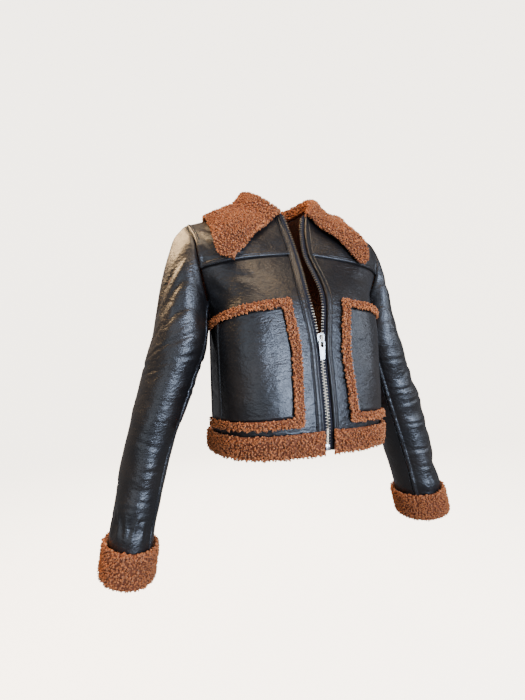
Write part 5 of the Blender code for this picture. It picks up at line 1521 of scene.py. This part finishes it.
def backdrop_material(colour, glow):
    nodes = Nodes("pale_backdrop", Roughness=0.9, Specular_IOR_Level=0.2, Emission_Strength=glow)
    nodes.shader.inputs["Emission Color"].default_value = (*colour, 1)
    dimmer = tuple(part * 0.985 for part in colour)
    nodes.shade("Base Color", nodes.ramp(nodes.noise(0.8, 2, 0.5), (0.30, dimmer), (0.70, colour)))
    return nodes.made


# Camera, from the photograph's perspective, in metres and degrees
CAMERA_TURN, CAMERA_DISTANCE, CAMERA_HEIGHT = -23.8, 0.810, -0.304
CAMERA_YAW, CAMERA_PITCH, CAMERA_ROLL = 3.50, -0.1, -2.52
CAMERA_FOCAL, PICTURE_HEIGHT, PICTURE_WIDTH = 400.0, 700, 525
CAMERA_MIDDLE = (263.0, 359.5)
SENSOR = 36.0
# The surround: the floor's height, how far it runs flat, the radius of its curve, and its ceiling's height
FLOOR_Z, FLOOR_FLAT, FLOOR_CURVE, CEILING_Z = -1.05, 3.0, 1.6, 5.0
# Soft lights: the name, the place, the point that it faces, the width and height, the watts and the colour
LIGHTS = (
    ("window", (0.34, -1.95, -0.24), (0, 0, -0.32), (1.00, 0.80), 88, (0.60, 0.74, 1.0)),
    ("warm_wall", (-0.90, 0.55, 0.90), (-0.2, 0, -0.05), (0.9, 0.9), 62, (1.0, 0.66, 0.34)),
    ("warm_ceiling", (0.0, -1.00, 1.15), (0.05, 0, -0.15), (0.45, 0.40), 7, (1.0, 0.66, 0.34)),
    ("above", (-0.25, -0.45, 1.60), (-0.05, 0, 0), (1.0, 0.8), 22, (1.0, 0.80, 0.58)),
    ("side", (1.35, -0.95, 0.10), (0, 0, -0.35), (0.4, 0.8), 11, (0.74, 0.84, 1.0)),
    ("left_wall", (-1.50, -1.25, -0.15), (-0.25, 0, -0.35), (1.2, 1.2), 11, (0.72, 0.84, 1.0)),
    ("behind", (0.60, 1.80, 0.40), (0, 0, -0.30), (1.0, 1.0), 40, (0.90, 0.94, 1.0)),
)
AIR_COLOUR, AIR_STRENGTH = (0.95, 0.95, 1.0, 1), 0.30


def camera():
    made = bpy.data.cameras.new("camera")
    item = new_object("camera", made)
    turn = math.radians(CAMERA_TURN)
    yaw = turn + math.radians(CAMERA_YAW)
    pitch, roll = math.radians(CAMERA_PITCH), math.radians(CAMERA_ROLL)
    ahead = Vector((-math.sin(yaw) * math.cos(pitch), math.cos(yaw) * math.cos(pitch), math.sin(pitch)))
    right = ahead.cross(Vector((0, 0, 1))).normalized()
    up = right.cross(ahead)
    across = right * math.cos(roll) + up * math.sin(roll)
    above = up * math.cos(roll) - right * math.sin(roll)
    turned = Matrix((across, above, -ahead)).transposed().to_4x4()
    spot = Vector((math.sin(turn) * CAMERA_DISTANCE, -math.cos(turn) * CAMERA_DISTANCE, CAMERA_HEIGHT))
    item.matrix_world = Matrix.Translation(spot) @ turned
    made.sensor_fit = "VERTICAL"
    made.sensor_height = SENSOR
    made.lens = CAMERA_FOCAL / PICTURE_HEIGHT * SENSOR
    made.shift_x = (PICTURE_WIDTH / 2 - CAMERA_MIDDLE[0]) / PICTURE_HEIGHT
    made.shift_y = (CAMERA_MIDDLE[1] - PICTURE_HEIGHT / 2) / PICTURE_HEIGHT
    made.clip_start = 0.02
    bpy.context.scene.camera = item


def studio():
    """A pale floor that curves up all around into a plain surround, and soft lights."""
    turns = np.linspace(0, math.pi / 2, 12)
    profile = [(0.0, FLOOR_Z)]
    for a in turns:
        profile.append((FLOOR_FLAT + FLOOR_CURVE * math.sin(a), FLOOR_Z + FLOOR_CURVE * (1 - math.cos(a))))
    profile += [(FLOOR_FLAT + FLOOR_CURVE, CEILING_Z), (0.0, CEILING_Z)]
    around = np.linspace(0, 2 * math.pi, 64, endpoint=False)
    points = np.array([(r * math.cos(a), r * math.sin(a), z) for r, z in profile for a in around])
    faces = grid_faces(len(profile), len(around), loop=True)
    floor = mesh_object("studio_floor", points, faces, backdrop_material((0.98, 0.89, 0.77), 4.4))
    floor.visible_glossy = False
    floor.visible_diffuse = False
    for name, spot, target, size, power, colour in LIGHTS:
        made = bpy.data.lights.new(name, "AREA")
        made.shape = "RECTANGLE"
        made.size, made.size_y = size
        made.energy = power
        made.color = colour
        item = new_object(name, made)
        item.location = spot
        item.rotation_euler = (Vector(target) - Vector(spot)).to_track_quat("-Z", "Y").to_euler()
    world = bpy.data.worlds.new("studio_air")
    world.use_nodes = True
    background = world.node_tree.nodes["Background"]
    background.inputs["Color"].default_value = AIR_COLOUR
    background.inputs["Strength"].default_value = AIR_STRENGTH
    bpy.context.scene.world = world


CURL_COLOURS = ((0.200, 0.053, 0.014), (0.425, 0.124, 0.036), (0.640, 0.226, 0.074))
# The ground under the curls is painted darker than the curls: painted shade for the crevices between them, on
# top of the real occlusion
GROUND_SHADE_COLOURS = ((0.085, 0.022, 0.009), (0.155, 0.044, 0.016), (0.240, 0.075, 0.028))
MATERIALS = {
    "leather": leather_material(),
    "backing": backing_material(),
    "pile": pile_material("sherpa_curls", *CURL_COLOURS, 0.35),
    "pile_base_painted_shade": pile_material("sherpa_ground_painted_shade", *GROUND_SHADE_COLOURS, 0.15),
    "tape": tape_material(),
    "teeth": metal_material("light_brass", (0.40, 0.33, 0.235), 0.34, 0.9),
    "metal": metal_material("polished_nickel", (0.66, 0.65, 0.63), 0.24, 1.0),
    "thread": thread_material(),
}
halves = {side: left_half(side) for side in ("left", "right")}
left = halves["left"]
torso_panels(left)
sleeves(halves)
plackets(left)
pockets(left)
sherpa(left, halves)
tapes(left)
teeth(left)
zip_ends(left)
slider_and_tab(left)
thread_object()
camera()
studio()
